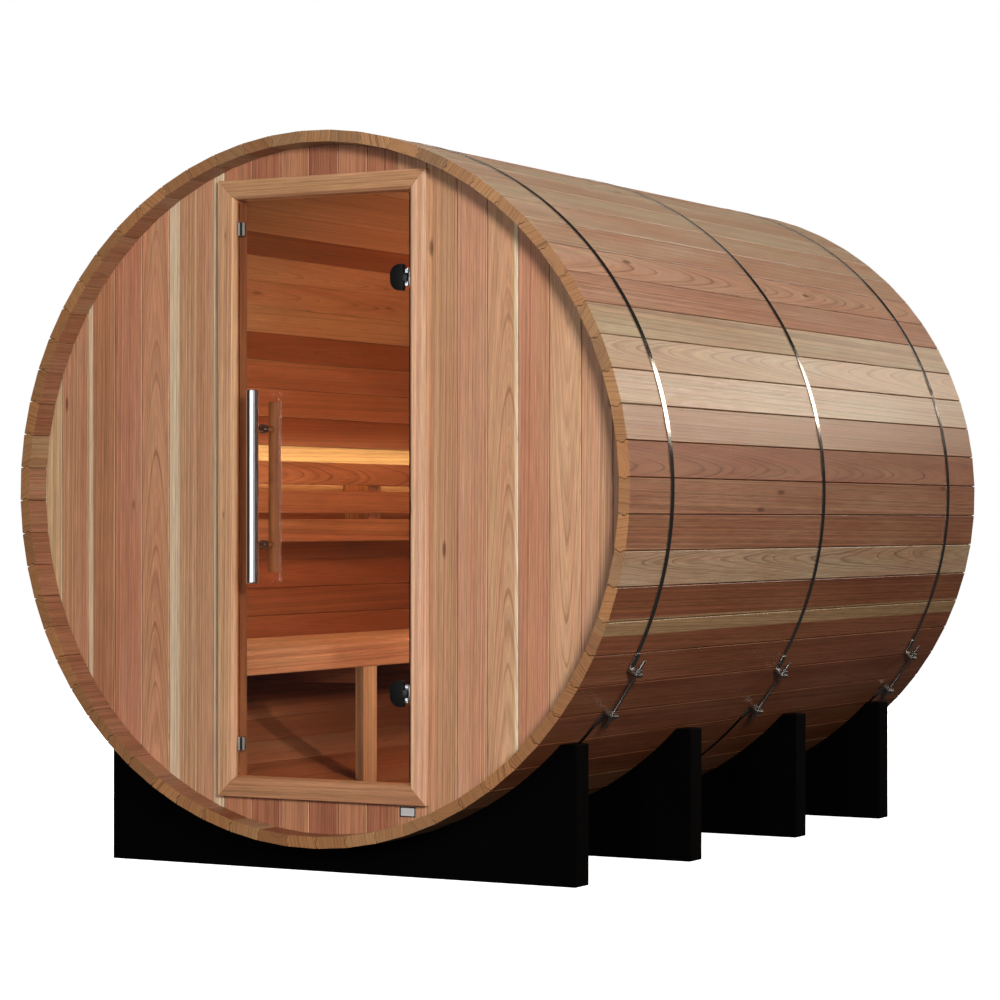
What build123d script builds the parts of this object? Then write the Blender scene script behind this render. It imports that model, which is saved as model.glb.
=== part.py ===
"""Barrel sauna: a stave barrel lying on four black cradles, with boarded ends and a glass door.

Millimetres. +Z is up, the barrel lies along Y, the door end faces -Y and the origin is on the ground
below the middle of the barrel.
"""
import math
import os

from build123d import *

# Barrel of bead and cove staves
barrel_length = 2392.0
barrel_radius = 915.0
ground_gap = 73.5
stave_count = 64
stave_thickness = 30.0
stave_gap = 0.4
stave_bevel = 2.0
bead_depth = 5.0
bead_start_share = 0.2
bead_end_share = 0.8
ring_turn_deg = 1.2

# End walls, set in grooves across the staves
wall_recess = 74.0
wall_thickness = 36.0
croze_depth = 8.0
seat_gap = 0.3
board_pitch = 87.5
board_joint_depth = 2.5

# Doorway
door_half_width = 264.0
door_top_margin = 158.0
door_bottom_margin = 167.0
lining_thickness = 29.0
lining_depth = 48.0
trim_width = 50.0
trim_thickness = 18.0
trim_bevel = 8.0

# Glass leaf
glass_thickness = 8.0
glass_proud = 4.0
glass_gap = 6.0
glass_corner = 4.0

# Hinges
hinge_inset = 16.0
hinge_upper_drop = 221.0
hinge_lower_rise = 230.0
hinge_height = 67.0
hinge_plate_thickness = 5.0
hinge_plate_reach = 37.0
plate_round_share = 0.75
knuckle_radius = 6.5
knuckle_gap = 0.5
knuckle_height = 20.0
pin_radius = 4.0
pin_clearance = 0.05
bracket_thickness = 3.0
bracket_depth = 26.0
ear_height = 12.0
ear_web = 9.0
notch_margin = 4.0

# Catches
catch_upper_drop = 77.0
catch_lower_rise = 87.0
catch_height = 34.0
catch_width = 16.0
catch_plate = 1.5
catch_gap = 1.0
magnet_width = 14.0
magnet_depth = 16.0

# Pulls
pull_inset = 82.0
pull_rise = 3.5
pull_spacing = 300.0
pull_radius = 16.0
pull_outside_length = 500.0
pull_inside_length = 445.0
pull_offset = 50.0
pull_end_round = 1.5
post_radius = 8.0
collar_radius = 12.0
collar_height = 5.0
stud_radius = 6.0
stud_clearance = 0.3

# Bench on the side away from the hinges
seat_height = 461.0
bench_door_gap = 58.0
bench_board = 28.0
bench_slat_gap = 14.0
bench_slat_count = 4
bench_wall_gap = 10.0
bench_end_gap = 2.0
fascia_height = 70.0
leg_width = 75.0
leg_shares = (0.3512, 0.6488)
bearer_height = 90.0
bearer_width = 40.0

# Backrest and the light behind it
backrest_stand_off = 114.0
backrest_board = 22.0
backrest_height = 68.0
backrest_gap = 18.0
backrest_rise = 520.0
backrest_count = 3
backrest_end_gap = 60.0
post_width = 77.0
post_shares = (0.3147, 0.6853)
light_depth = 12.0
light_height = 16.0
light_drop = 6.0

# Steel bands and their tensioners
band_width = 20.0
band_thickness = 1.2
band_front = 235.0
band_middle_share = 0.4996
band_rear_share = 0.9022
tension_angles_deg = (-33.2, -36.3, -35.5)
lug_spacing = 125.0
lug_thickness = 8.0
lug_width = 32.0
lug_height = 34.0
lug_round = 8.0
lug_root_share = 0.4
strap_length = 44.0
strap_gap = 0.2
strap_thickness = 3.0
strap_width = 26.0
rod_radius = 4.0
rod_hole_radius = 4.6
rod_rise = 21.0
rod_length = 204.0
nut_across = 15.0
nut_height = 8.0
washer_radius = 9.5
washer_height = 2.0

# Cradles
cradle_half_width = 702.0
cradle_height = 353.5
cradle_thickness = 74.0
cradle_shares = (0.0531, 0.3302, 0.6259, 0.8926)
cradle_edge = 3.0
band_groove_width = 26.0
band_groove_depth = 3.0

# Places that follow from the sizes above
axis_height = barrel_radius + ground_gap
front_end = -barrel_length / 2
rear_end = barrel_length / 2
stave_pitch_deg = 360 / stave_count
half_pitch = math.radians(stave_pitch_deg / 2)
outer_apothem = barrel_radius * math.cos(half_pitch)
inner_apothem = outer_apothem - stave_thickness
barrel_axis = Axis((0, 0, axis_height), (0, 1, 0))
wall_front = front_end + wall_recess
wall_inside = wall_front + wall_thickness
back_wall_outside = rear_end - wall_recess
back_wall_inside = back_wall_outside - wall_thickness
wall_radius = inner_apothem + croze_depth - seat_gap
door_top = barrel_radius - door_top_margin
door_bottom = barrel_radius - door_bottom_margin
rough_half_width = door_half_width + lining_thickness
rough_top = door_top + lining_thickness
rough_bottom = door_bottom + lining_thickness
trim_half_width = door_half_width + trim_width
trim_top = door_top + trim_width
trim_bottom = door_bottom + trim_width
glass_front = wall_front - glass_proud
glass_back = glass_front + glass_thickness
glass_middle = glass_front + glass_thickness / 2
glass_half_width = door_half_width - glass_gap
hinge_x = door_half_width - hinge_inset
pieces = {}


def section(y):
    """Cross plane of the barrel at y with its axis as origin; an extrusion runs toward the door end."""
    return Plane(origin=(0, y, axis_height), x_dir=(1, 0, 0), z_dir=(0, -1, 0))


def block(x_span, y_span, z_span, mode=Mode.ADD):
    """Square cut timber or plate between two corners, heights measured from the barrel axis."""
    x0, x1 = x_span
    y0, y1 = y_span
    z0, z1 = z_span
    with Locations(((x0 + x1) / 2, (y0 + y1) / 2, axis_height + (z0 + z1) / 2)):
        Box(x1 - x0, y1 - y0, z1 - z0, mode=mode)


def stave_edge(depth, side):
    """Point on a stave's joint face at a depth below its outer flat; side is 1 or -1."""
    distance = outer_apothem - depth
    return (side * (distance * math.tan(half_pitch) - stave_gap / 2 / math.cos(half_pitch)), distance)


def bead_crown(side):
    """Middle of the bead on one edge and of the cove on the other, which bend the same way."""
    x, distance = stave_edge(stave_thickness * (bead_start_share + bead_end_share) / 2, side)
    return (x + bead_depth, distance)


def board_joints(low, high):
    """Where upright wall boards meet between two limits, with one board centred in the wall."""
    first = math.ceil(low / board_pitch - 0.5)
    last = math.floor(high / board_pitch - 0.5)
    return [(n + 0.5) * board_pitch for n in range(first, last + 1)]


def cut_board_joints(low, high, faces_y):
    """V joints between upright boards on the given faces of a wall."""
    side = board_joint_depth * math.sqrt(2)
    for face_y in faces_y:
        for x in board_joints(low, high):
            with Locations((x, face_y, axis_height)):
                Box(side, side, 2 * barrel_radius, rotation=(0, 0, 45), mode=Mode.SUBTRACT)


# One stave, at the top of the barrel: bead on one edge, cove on the other, a groove for each end wall
bead_start = stave_thickness * bead_start_share
bead_end = stave_thickness * bead_end_share
with BuildPart() as stave:
    with BuildSketch(section(rear_end)):
        with BuildLine():
            Polyline(
                stave_edge(bead_start, -1),
                stave_edge(stave_bevel, -1),
                (stave_edge(0, -1)[0] + stave_bevel, outer_apothem),
                (stave_edge(0, 1)[0] - stave_bevel, outer_apothem),
                stave_edge(stave_bevel, 1),
                stave_edge(bead_start, 1),
            )
            ThreePointArc(stave_edge(bead_start, 1), bead_crown(1), stave_edge(bead_end, 1))
            Polyline(
                stave_edge(bead_end, 1),
                stave_edge(stave_thickness - stave_bevel, 1),
                (stave_edge(stave_thickness, 1)[0] - stave_bevel, inner_apothem),
                (stave_edge(stave_thickness, -1)[0] + stave_bevel, inner_apothem),
                stave_edge(stave_thickness - stave_bevel, -1),
                stave_edge(bead_end, -1),
            )
            ThreePointArc(stave_edge(bead_end, -1), bead_crown(-1), stave_edge(bead_start, -1))
        make_face()
    extrude(amount=barrel_length)
    for groove_start in (wall_front, back_wall_inside):
        block(
            (-barrel_radius, barrel_radius),
            (groove_start - seat_gap, groove_start + wall_thickness + seat_gap),
            (inner_apothem - croze_depth, inner_apothem + croze_depth),
            mode=Mode.SUBTRACT,
        )

# The ring of staves, eight zones round the barrel starting at the top and turning toward +X
stave_zones = ("top", "upper_right", "right", "lower_right", "bottom", "lower_left", "left", "upper_left")
for zone_index, zone in enumerate(stave_zones):
    zone_first = round(stave_count * (zone_index - 0.5) / len(stave_zones))
    zone_last = round(stave_count * (zone_index + 0.5) / len(stave_zones))
    with BuildPart() as zone_staves:
        for n in range(zone_first, zone_last):
            add(stave.part.rotate(barrel_axis, ring_turn_deg + n * stave_pitch_deg))
    pieces["staves_" + zone] = zone_staves

# Front wall of upright boards, in four panels about the doorway
joint_margin = 4 * board_joint_depth
joint_limit = rough_half_width - joint_margin
side_panel = wall_radius - rough_half_width
with BuildPart() as front_wall_left:
    with BuildSketch(section(wall_inside)):
        Circle(wall_radius)
        with Locations((-rough_half_width - side_panel / 2, 0)):
            Rectangle(side_panel, 2 * wall_radius, mode=Mode.INTERSECT)
    extrude(amount=wall_thickness)
    cut_board_joints(-wall_radius, -rough_half_width - joint_margin, (wall_front, wall_inside))
pieces["front_wall_left"] = front_wall_left

with BuildPart() as front_wall_right:
    with BuildSketch(section(wall_inside)):
        Circle(wall_radius)
        with Locations((rough_half_width + side_panel / 2, 0)):
            Rectangle(side_panel, 2 * wall_radius, mode=Mode.INTERSECT)
    extrude(amount=wall_thickness)
    cut_board_joints(rough_half_width + joint_margin, wall_radius, (wall_front, wall_inside))
pieces["front_wall_right"] = front_wall_right

with BuildPart() as front_wall_over_door:
    with BuildSketch(section(wall_inside)):
        Circle(wall_radius)
        with Locations((0, rough_top + wall_radius / 2)):
            Rectangle(2 * rough_half_width, wall_radius, mode=Mode.INTERSECT)
    extrude(amount=wall_thickness)
    cut_board_joints(-joint_limit, joint_limit, (wall_front, wall_inside))
pieces["front_wall_over_door"] = front_wall_over_door

with BuildPart() as front_wall_under_door:
    with BuildSketch(section(wall_inside)):
        Circle(wall_radius)
        with Locations((0, -rough_bottom - wall_radius / 2)):
            Rectangle(2 * rough_half_width, wall_radius, mode=Mode.INTERSECT)
    extrude(amount=wall_thickness)
    cut_board_joints(-joint_limit, joint_limit, (wall_front, wall_inside))
pieces["front_wall_under_door"] = front_wall_under_door

# Back wall: the same boards across the whole circle
with BuildPart() as back_wall:
    with BuildSketch(section(back_wall_outside)):
        Circle(wall_radius)
    extrude(amount=wall_thickness)
    cut_board_joints(-wall_radius, wall_radius, (back_wall_inside, back_wall_outside))
pieces["back_wall"] = back_wall

# Lining of the doorway: head and sill across, jambs between them
lining_span = (wall_front, wall_front + lining_depth)
with BuildPart() as door_head:
    block((-rough_half_width, rough_half_width), lining_span, (door_top, rough_top))
pieces["door_head"] = door_head

with BuildPart() as door_sill:
    block((-rough_half_width, rough_half_width), lining_span, (-rough_bottom, -door_bottom))
pieces["door_sill"] = door_sill

with BuildPart() as door_jamb_left:
    block((-rough_half_width, -door_half_width), lining_span, (-door_bottom, door_top))
pieces["door_jamb_left"] = door_jamb_left

with BuildPart() as door_jamb_right:
    block((door_half_width, rough_half_width), lining_span, (-door_bottom, door_top))
pieces["door_jamb_right"] = door_jamb_right

# Trim round the doorway: four mitred boards with a bevelled inner edge
with BuildPart() as trim_head:
    with BuildSketch(section(wall_front)):
        with BuildLine():
            Polyline(
                (-door_half_width, door_top),
                (door_half_width, door_top),
                (trim_half_width, trim_top),
                (-trim_half_width, trim_top),
                close=True,
            )
        make_face()
    extrude(amount=trim_thickness)
    chamfer(trim_head.faces().sort_by(Axis.Y)[0].edges().sort_by(Axis.Z)[0], length=trim_bevel)
pieces["trim_head"] = trim_head

with BuildPart() as trim_sill:
    with BuildSketch(section(wall_front)):
        with BuildLine():
            Polyline(
                (-door_half_width, -door_bottom),
                (door_half_width, -door_bottom),
                (trim_half_width, -trim_bottom),
                (-trim_half_width, -trim_bottom),
                close=True,
            )
        make_face()
    extrude(amount=trim_thickness)
    chamfer(trim_sill.faces().sort_by(Axis.Y)[0].edges().sort_by(Axis.Z)[-1], length=trim_bevel)
pieces["trim_sill"] = trim_sill

with BuildPart() as trim_left:
    with BuildSketch(section(wall_front)):
        with BuildLine():
            Polyline(
                (-door_half_width, -door_bottom),
                (-door_half_width, door_top),
                (-trim_half_width, trim_top),
                (-trim_half_width, -trim_bottom),
                close=True,
            )
        make_face()
    extrude(amount=trim_thickness)
    chamfer(trim_left.faces().sort_by(Axis.Y)[0].edges().sort_by(Axis.X)[-1], length=trim_bevel)
pieces["trim_left"] = trim_left

with BuildPart() as trim_right:
    with BuildSketch(section(wall_front)):
        with BuildLine():
            Polyline(
                (door_half_width, -door_bottom),
                (door_half_width, door_top),
                (trim_half_width, trim_top),
                (trim_half_width, -trim_bottom),
                close=True,
            )
        make_face()
    extrude(amount=trim_thickness)
    chamfer(trim_right.faces().sort_by(Axis.Y)[0].edges().sort_by(Axis.X)[0], length=trim_bevel)
pieces["trim_right"] = trim_right

# Glass leaf: notched round each hinge knuckle and drilled for the posts of the pulls
hinge_heights = (door_top - hinge_upper_drop, hinge_lower_rise - door_bottom)
pull_x = pull_inset - door_half_width
pull_centre = (door_top - door_bottom) / 2 + pull_rise
post_heights = (pull_centre + pull_spacing / 2, pull_centre - pull_spacing / 2)
notch_height = knuckle_height + 2 * ear_height + 2 * knuckle_gap + 2 * notch_margin
notch_x = hinge_x - knuckle_radius - notch_margin
glass_top = door_top - glass_gap
glass_bottom = -door_bottom + glass_gap
with BuildPart() as door_glass:
    with BuildSketch(section(glass_back)):
        with Locations((0, (glass_top + glass_bottom) / 2)):
            RectangleRounded(2 * glass_half_width, glass_top - glass_bottom, glass_corner)
        with Locations(*[(pull_x, height) for height in post_heights]):
            Circle(stud_radius + stud_clearance, mode=Mode.SUBTRACT)
        notch_width = 2 * (glass_half_width - notch_x)
        with Locations(*[(glass_half_width, height) for height in hinge_heights]):
            Rectangle(notch_width, notch_height, mode=Mode.SUBTRACT)
    extrude(amount=glass_thickness)
pieces["door_glass"] = door_glass

# Hinge clamps: a round ended plate on each side of the glass, and the knuckle that turns on the pin
plate_right = hinge_x - knuckle_radius - knuckle_gap
plate_left = plate_right - hinge_plate_reach
plate_round = hinge_plate_reach * plate_round_share
with BuildPart() as hinge_clamps:
    for height in hinge_heights:
        for plate_back in (glass_front, glass_back + hinge_plate_thickness):
            with BuildSketch(section(plate_back)):
                with Locations(((plate_left + plate_right) / 2, height)):
                    plate_outline = Rectangle(hinge_plate_reach, hinge_height)
                fillet(plate_outline.vertices().sort_by(Axis.X)[:2], plate_round)
            extrude(amount=hinge_plate_thickness)
        block(
            (notch_x, plate_right),
            (glass_front, glass_back),
            (height - notch_height / 2, height + notch_height / 2),
        )
        block(
            (notch_x, hinge_x),
            (glass_middle - knuckle_radius, glass_middle + knuckle_radius),
            (height - knuckle_height / 2, height + knuckle_height / 2),
        )
        with Locations((hinge_x, glass_middle, axis_height + height)):
            Cylinder(knuckle_radius, knuckle_height)
            Cylinder(pin_radius + pin_clearance, 2 * knuckle_height, mode=Mode.SUBTRACT)
pieces["hinge_clamps"] = hinge_clamps

# Hinge brackets: a plate on the jamb with two ears that carry the pin
ear_offset = knuckle_height / 2 + knuckle_gap
bracket_half_height = ear_offset + ear_height
with BuildPart() as hinge_brackets:
    for height in hinge_heights:
        block(
            (door_half_width - bracket_thickness, door_half_width),
            (glass_middle - bracket_depth / 2, glass_middle + bracket_depth / 2),
            (height - bracket_half_height, height + bracket_half_height),
        )
        for ear_middle in (height + ear_offset + ear_height / 2, height - ear_offset - ear_height / 2):
            block(
                (hinge_x, door_half_width - bracket_thickness),
                (glass_middle - ear_web / 2, glass_middle + ear_web / 2),
                (ear_middle - ear_height / 2, ear_middle + ear_height / 2),
            )
            with Locations((hinge_x, glass_middle, axis_height + ear_middle)):
                Cylinder(knuckle_radius, ear_height)
        with Locations((hinge_x, glass_middle, axis_height + height)):
            Cylinder(pin_radius, 2 * bracket_half_height)
pieces["hinge_brackets"] = hinge_brackets

# Catches: a steel clip over the free edge of the glass, a magnet block on the jamb behind it
catch_heights = (door_top - catch_upper_drop, catch_lower_rise - door_bottom)
with BuildPart() as catch_clips:
    for height in catch_heights:
        block(
            (-glass_half_width - catch_plate, -glass_half_width + catch_width),
            (glass_front - catch_plate, glass_back + catch_plate),
            (height - catch_height / 2, height + catch_height / 2),
        )
        block(
            (-glass_half_width, glass_half_width),
            (glass_front, glass_back),
            (height - catch_height, height + catch_height),
            mode=Mode.SUBTRACT,
        )
pieces["catch_clips"] = catch_clips

magnet_front = glass_back + catch_plate + catch_gap
with BuildPart() as catch_magnets:
    for height in catch_heights:
        block(
            (-door_half_width, -door_half_width + magnet_width),
            (magnet_front, magnet_front + magnet_depth),
            (height - catch_height / 2, height + catch_height / 2),
        )
pieces["catch_magnets"] = catch_magnets

# Pulls: steel posts through the glass carry a steel bar outside and a wooden bar inside
outside_axis = glass_front - pull_offset
inside_axis = glass_back + pull_offset
with BuildPart() as pull_posts:
    for height in post_heights:
        with BuildSketch(section(inside_axis)):
            with Locations((pull_x, height)):
                Circle(post_radius)
        extrude(amount=inside_axis - glass_back)
        with BuildSketch(section(glass_back + collar_height)):
            with Locations((pull_x, height)):
                Circle(collar_radius)
        extrude(amount=collar_height)
        with BuildSketch(section(glass_back)):
            with Locations((pull_x, height)):
                Circle(stud_radius)
        extrude(amount=glass_thickness)
        with BuildSketch(section(glass_front)):
            with Locations((pull_x, height)):
                Circle(collar_radius)
        extrude(amount=collar_height)
        with BuildSketch(section(glass_front)):
            with Locations((pull_x, height)):
                Circle(post_radius)
        extrude(amount=glass_front - outside_axis)
pieces["pull_posts"] = pull_posts

socket_radius = post_radius + stud_clearance
pull_outside_foot = axis_height + pull_centre - pull_outside_length / 2
pull_inside_foot = axis_height + pull_centre - pull_inside_length / 2
with BuildPart() as pull_outside:
    with BuildSketch(Plane(origin=(pull_x, outside_axis, pull_outside_foot))):
        Circle(pull_radius)
    extrude(amount=pull_outside_length)
    chamfer(pull_outside.edges().filter_by(GeomType.CIRCLE), length=pull_end_round)
    for height in post_heights:
        with BuildSketch(section(outside_axis + pull_radius)):
            with Locations((pull_x, height)):
                Circle(socket_radius)
        extrude(amount=pull_radius + stud_clearance, mode=Mode.SUBTRACT)
pieces["pull_outside"] = pull_outside

with BuildPart() as pull_inside:
    with BuildSketch(Plane(origin=(pull_x, inside_axis, pull_inside_foot))):
        Circle(pull_radius)
    extrude(amount=pull_inside_length)
    chamfer(pull_inside.edges().filter_by(GeomType.CIRCLE), length=pull_end_round)
    for height in post_heights:
        with BuildSketch(section(inside_axis + stud_clearance)):
            with Locations((pull_x, height)):
                Circle(socket_radius)
        extrude(amount=pull_radius + stud_clearance, mode=Mode.SUBTRACT)
pieces["pull_inside"] = pull_inside

# Hollow of the barrel, which trims what stands against the staves
hollow_turn_deg = 90 - ring_turn_deg - stave_pitch_deg / 2
with BuildPart() as hollow:
    with BuildSketch(section(back_wall_inside)):
        RegularPolygon(inner_apothem - seat_gap, stave_count, major_radius=False, rotation=hollow_turn_deg)
    extrude(amount=back_wall_inside - wall_inside)

# Bench: lengthwise slats on bearers, a fascia along the front edge and two legs standing on the staves
bench_span = (wall_inside + bench_end_gap, back_wall_inside - bench_end_gap)
bench_top = seat_height - inner_apothem
bench_front = -door_half_width - bench_door_gap
fascia_back = bench_front - bench_board
slat_underside = bench_top - bench_board
bench_back = bench_wall_gap - math.sqrt(inner_apothem**2 - slat_underside**2)
bench_slat_pitch = (fascia_back - bench_back) / bench_slat_count
bench_slat_width = bench_slat_pitch - bench_slat_gap
leg_middles = [front_end + barrel_length * share for share in leg_shares]
with BuildPart() as bench_slats:
    for n in range(bench_slat_count):
        slat_front = fascia_back - bench_slat_gap - n * bench_slat_pitch
        block((slat_front - bench_slat_width, slat_front), bench_span, (slat_underside, bench_top))
pieces["bench_slats"] = bench_slats

with BuildPart() as bench_fascia:
    block((fascia_back, bench_front), bench_span, (bench_top - fascia_height, bench_top))
pieces["bench_fascia"] = bench_fascia

with BuildPart() as bench_legs:
    for leg_middle in leg_middles:
        block(
            (fascia_back, bench_front),
            (leg_middle - leg_width / 2, leg_middle + leg_width / 2),
            (-barrel_radius, bench_top - fascia_height),
        )
    add(hollow.part, mode=Mode.INTERSECT)
pieces["bench_legs"] = bench_legs

bearer_middles = leg_middles + [wall_inside + bearer_width / 2, back_wall_inside - bearer_width / 2]
with BuildPart() as bench_bearers:
    for bearer_middle in bearer_middles:
        block(
            (-barrel_radius, fascia_back),
            (bearer_middle - bearer_width / 2, bearer_middle + bearer_width / 2),
            (slat_underside - bearer_height, slat_underside),
        )
    add(hollow.part, mode=Mode.INTERSECT)
pieces["bench_bearers"] = bench_bearers

# Backrest: three lengthwise slats on uprights cut to the staves, with a light along the top slat
backrest_span = (wall_inside + backrest_end_gap, back_wall_inside - backrest_end_gap)
backrest_face = backrest_stand_off - inner_apothem
backrest_back = backrest_face - backrest_board
backrest_top = bench_top + backrest_rise
backrest_pitch = backrest_height + backrest_gap
with BuildPart() as backrest_slats:
    for n in range(backrest_count):
        slat_top = backrest_top - n * backrest_pitch
        block((backrest_back, backrest_face), backrest_span, (slat_top - backrest_height, slat_top))
pieces["backrest_slats"] = backrest_slats

light_top = backrest_top - light_drop
backrest_bottom = backrest_top - backrest_count * backrest_pitch + backrest_gap
with BuildPart() as backrest_uprights:
    for share in post_shares:
        post_middle = front_end + barrel_length * share
        block(
            (-barrel_radius, backrest_back),
            (post_middle - post_width / 2, post_middle + post_width / 2),
            (backrest_bottom, light_top - light_height),
        )
    add(hollow.part, mode=Mode.INTERSECT)
pieces["backrest_uprights"] = backrest_uprights

with BuildPart() as light_strip:
    light_back = backrest_back - light_depth
    block((light_back, backrest_back), backrest_span, (light_top - light_height, light_top))
pieces["light_strip"] = light_strip

# Cradles: black saddles cut to the barrel, grooved where a band runs through one
saddle_radius = barrel_radius + seat_gap
band_rear = front_end + barrel_length * band_rear_share
band_middles = (front_end + band_front, front_end + barrel_length * band_middle_share, band_rear)
cradle_fronts = [front_end + barrel_length * share for share in cradle_shares]
cradle_names = ("cradle_front", "cradle_second", "cradle_third", "cradle_rear")
for cradle_name, cradle_front in zip(cradle_names, cradle_fronts):
    with BuildPart() as cradle:
        with BuildSketch(section(cradle_front + cradle_thickness)):
            with Locations((0, cradle_height / 2 - axis_height)):
                Rectangle(2 * cradle_half_width, cradle_height)
            Circle(saddle_radius, mode=Mode.SUBTRACT)
        extrude(amount=cradle_thickness)
        end_faces = cradle.faces().filter_by(Axis.X).sort_by(Axis.X)
        for end_face in (end_faces[0], end_faces[-1]):
            chamfer(end_face.edges().filter_by(Axis.Z), length=cradle_edge)
        cradle_middle = cradle_front + cradle_thickness / 2
        for band_middle in band_middles:
            if abs(band_middle - cradle_middle) < (cradle_thickness + band_groove_width) / 2:
                with BuildSketch(section(band_middle + band_groove_width / 2)):
                    Circle(saddle_radius + band_groove_depth)
                extrude(amount=band_groove_width, mode=Mode.SUBTRACT)
    pieces[cradle_name] = cradle

# Bands round the barrel, each ending in two lugs that a threaded rod draws together
band_inner_radius = barrel_radius + seat_gap
band_outer_radius = band_inner_radius + band_thickness
band_names = ("front", "middle", "rear")
lug_half = lug_spacing / 2
lug_inner_edge = lug_half - lug_thickness / 2
lug_turn_deg = math.degrees(math.asin(lug_half / band_inner_radius))
strap_inner_radius = band_outer_radius + strap_gap
strap_outer_radius = strap_inner_radius + strap_thickness
strap_turn_deg = math.degrees(strap_length / strap_outer_radius)
strap_rise = math.sqrt(strap_inner_radius**2 - lug_inner_edge**2) - barrel_radius
lug_root = strap_rise + strap_thickness * lug_root_share
far = 2 * barrel_radius


def spoke(angle_deg):
    """Point far outside the barrel at an angle round its axis, counted up from +X."""
    return (far * math.cos(math.radians(angle_deg)), far * math.sin(math.radians(angle_deg)))


def outward(angle_deg):
    """Direction straight out of the barrel at an angle."""
    return Vector(math.cos(math.radians(angle_deg)), 0, math.sin(math.radians(angle_deg)))


def along(angle_deg):
    """Direction round the barrel at an angle, the way a tensioner's rod runs."""
    return Vector(-math.sin(math.radians(angle_deg)), 0, math.cos(math.radians(angle_deg)))


def tension_plane(band_middle, angle_deg, rise, reach):
    """Plane across a tensioner, at a rise above the barrel and a reach from the tensioner's middle."""
    surface = Vector(0, band_middle, axis_height) + outward(angle_deg) * (barrel_radius + rise)
    return Plane(origin=surface + along(angle_deg) * reach, x_dir=(0, 1, 0), z_dir=-along(angle_deg))


for band_name, band_middle, angle_deg in zip(band_names, band_middles, tension_angles_deg):
    with BuildPart() as band:
        with BuildSketch(section(band_middle + band_width / 2)):
            Circle(band_outer_radius)
            Circle(band_inner_radius, mode=Mode.SUBTRACT)
            with BuildLine():
                Polyline((0, 0), spoke(angle_deg - lug_turn_deg), spoke(angle_deg + lug_turn_deg), close=True)
            make_face(mode=Mode.SUBTRACT)
        extrude(amount=band_width)
    pieces["band_" + band_name] = band

with BuildPart() as tension_lugs:
    for band_middle, angle_deg in zip(band_middles, tension_angles_deg):
        for side in (1, -1):
            strap_start_deg = angle_deg + side * lug_turn_deg
            strap_end_deg = strap_start_deg + side * strap_turn_deg
            lug_outer_face = side * lug_half + lug_thickness / 2
            with BuildSketch(section(band_middle + strap_width / 2)):
                with BuildLine():
                    Polyline((0, 0), spoke(strap_start_deg), spoke(strap_end_deg), close=True)
                make_face()
                Circle(strap_outer_radius, mode=Mode.INTERSECT)
                Circle(strap_inner_radius, mode=Mode.SUBTRACT)
            extrude(amount=strap_width)
            with BuildSketch(tension_plane(band_middle, angle_deg, lug_root, lug_outer_face)):
                with Locations((0, (lug_height - lug_root) / 2)):
                    lug_outline = Rectangle(lug_width, lug_height - lug_root)
                fillet(lug_outline.vertices().sort_by(Axis.Y)[-2:], lug_round)
                with Locations((0, rod_rise - lug_root)):
                    Circle(rod_hole_radius, mode=Mode.SUBTRACT)
            extrude(amount=lug_thickness)
pieces["tension_lugs"] = tension_lugs

with BuildPart() as tension_rods:
    for band_middle, angle_deg in zip(band_middles, tension_angles_deg):
        with BuildSketch(tension_plane(band_middle, angle_deg, rod_rise, rod_length / 2)):
            Circle(rod_radius)
        extrude(amount=rod_length)
        for side in (1, -1):
            nut_seat = tension_plane(band_middle, angle_deg, rod_rise, side * (lug_half + lug_thickness / 2))
            with BuildSketch(nut_seat):
                Circle(washer_radius)
            extrude(amount=-side * washer_height)
            with BuildSketch(nut_seat):
                RegularPolygon(nut_across / 2, 6, major_radius=False)
            extrude(amount=-side * (washer_height + nut_height))
pieces["tension_rods"] = tension_rods

os.makedirs("parts", exist_ok=True)
for name, piece in pieces.items():
    piece.part.label = name
    export_step(piece.part, f"parts/{name}.step")
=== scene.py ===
"""Looks of the barrel sauna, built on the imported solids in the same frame.

Metres. +Z is up, the barrel lies along Y and the door end faces -Y.
"""
import functools
import math

import bmesh
import bpy
import numpy as np
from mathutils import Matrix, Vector


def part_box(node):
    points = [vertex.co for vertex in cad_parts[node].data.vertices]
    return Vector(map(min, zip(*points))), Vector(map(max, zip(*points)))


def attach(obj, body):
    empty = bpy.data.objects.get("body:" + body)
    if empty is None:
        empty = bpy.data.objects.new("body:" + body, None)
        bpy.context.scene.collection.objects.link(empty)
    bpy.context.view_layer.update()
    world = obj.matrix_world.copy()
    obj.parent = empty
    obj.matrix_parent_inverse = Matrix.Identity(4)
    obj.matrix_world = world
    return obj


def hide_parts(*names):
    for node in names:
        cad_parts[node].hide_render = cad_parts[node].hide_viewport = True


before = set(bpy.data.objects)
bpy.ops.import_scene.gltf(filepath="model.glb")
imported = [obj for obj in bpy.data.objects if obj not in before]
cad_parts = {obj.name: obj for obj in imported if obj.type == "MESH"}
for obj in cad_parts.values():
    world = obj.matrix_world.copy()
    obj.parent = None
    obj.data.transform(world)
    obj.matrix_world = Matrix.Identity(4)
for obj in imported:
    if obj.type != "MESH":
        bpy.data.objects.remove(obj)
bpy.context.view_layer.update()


# Cradles
# Four saddles sawn from thick planks and painted black. The barrel rests in their hollows, and
# nothing but its weight holds it there.
def linear(code):
    """An sRGB hex colour as the linear colour that a shader takes."""
    shares = [int(code[n:n + 2], 16) / 255 for n in (1, 3, 5)]
    return tuple(s / 12.92 if s <= 0.04045 else ((s + 0.055) / 1.055) ** 2.4 for s in shares) + (1.0,)


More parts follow.
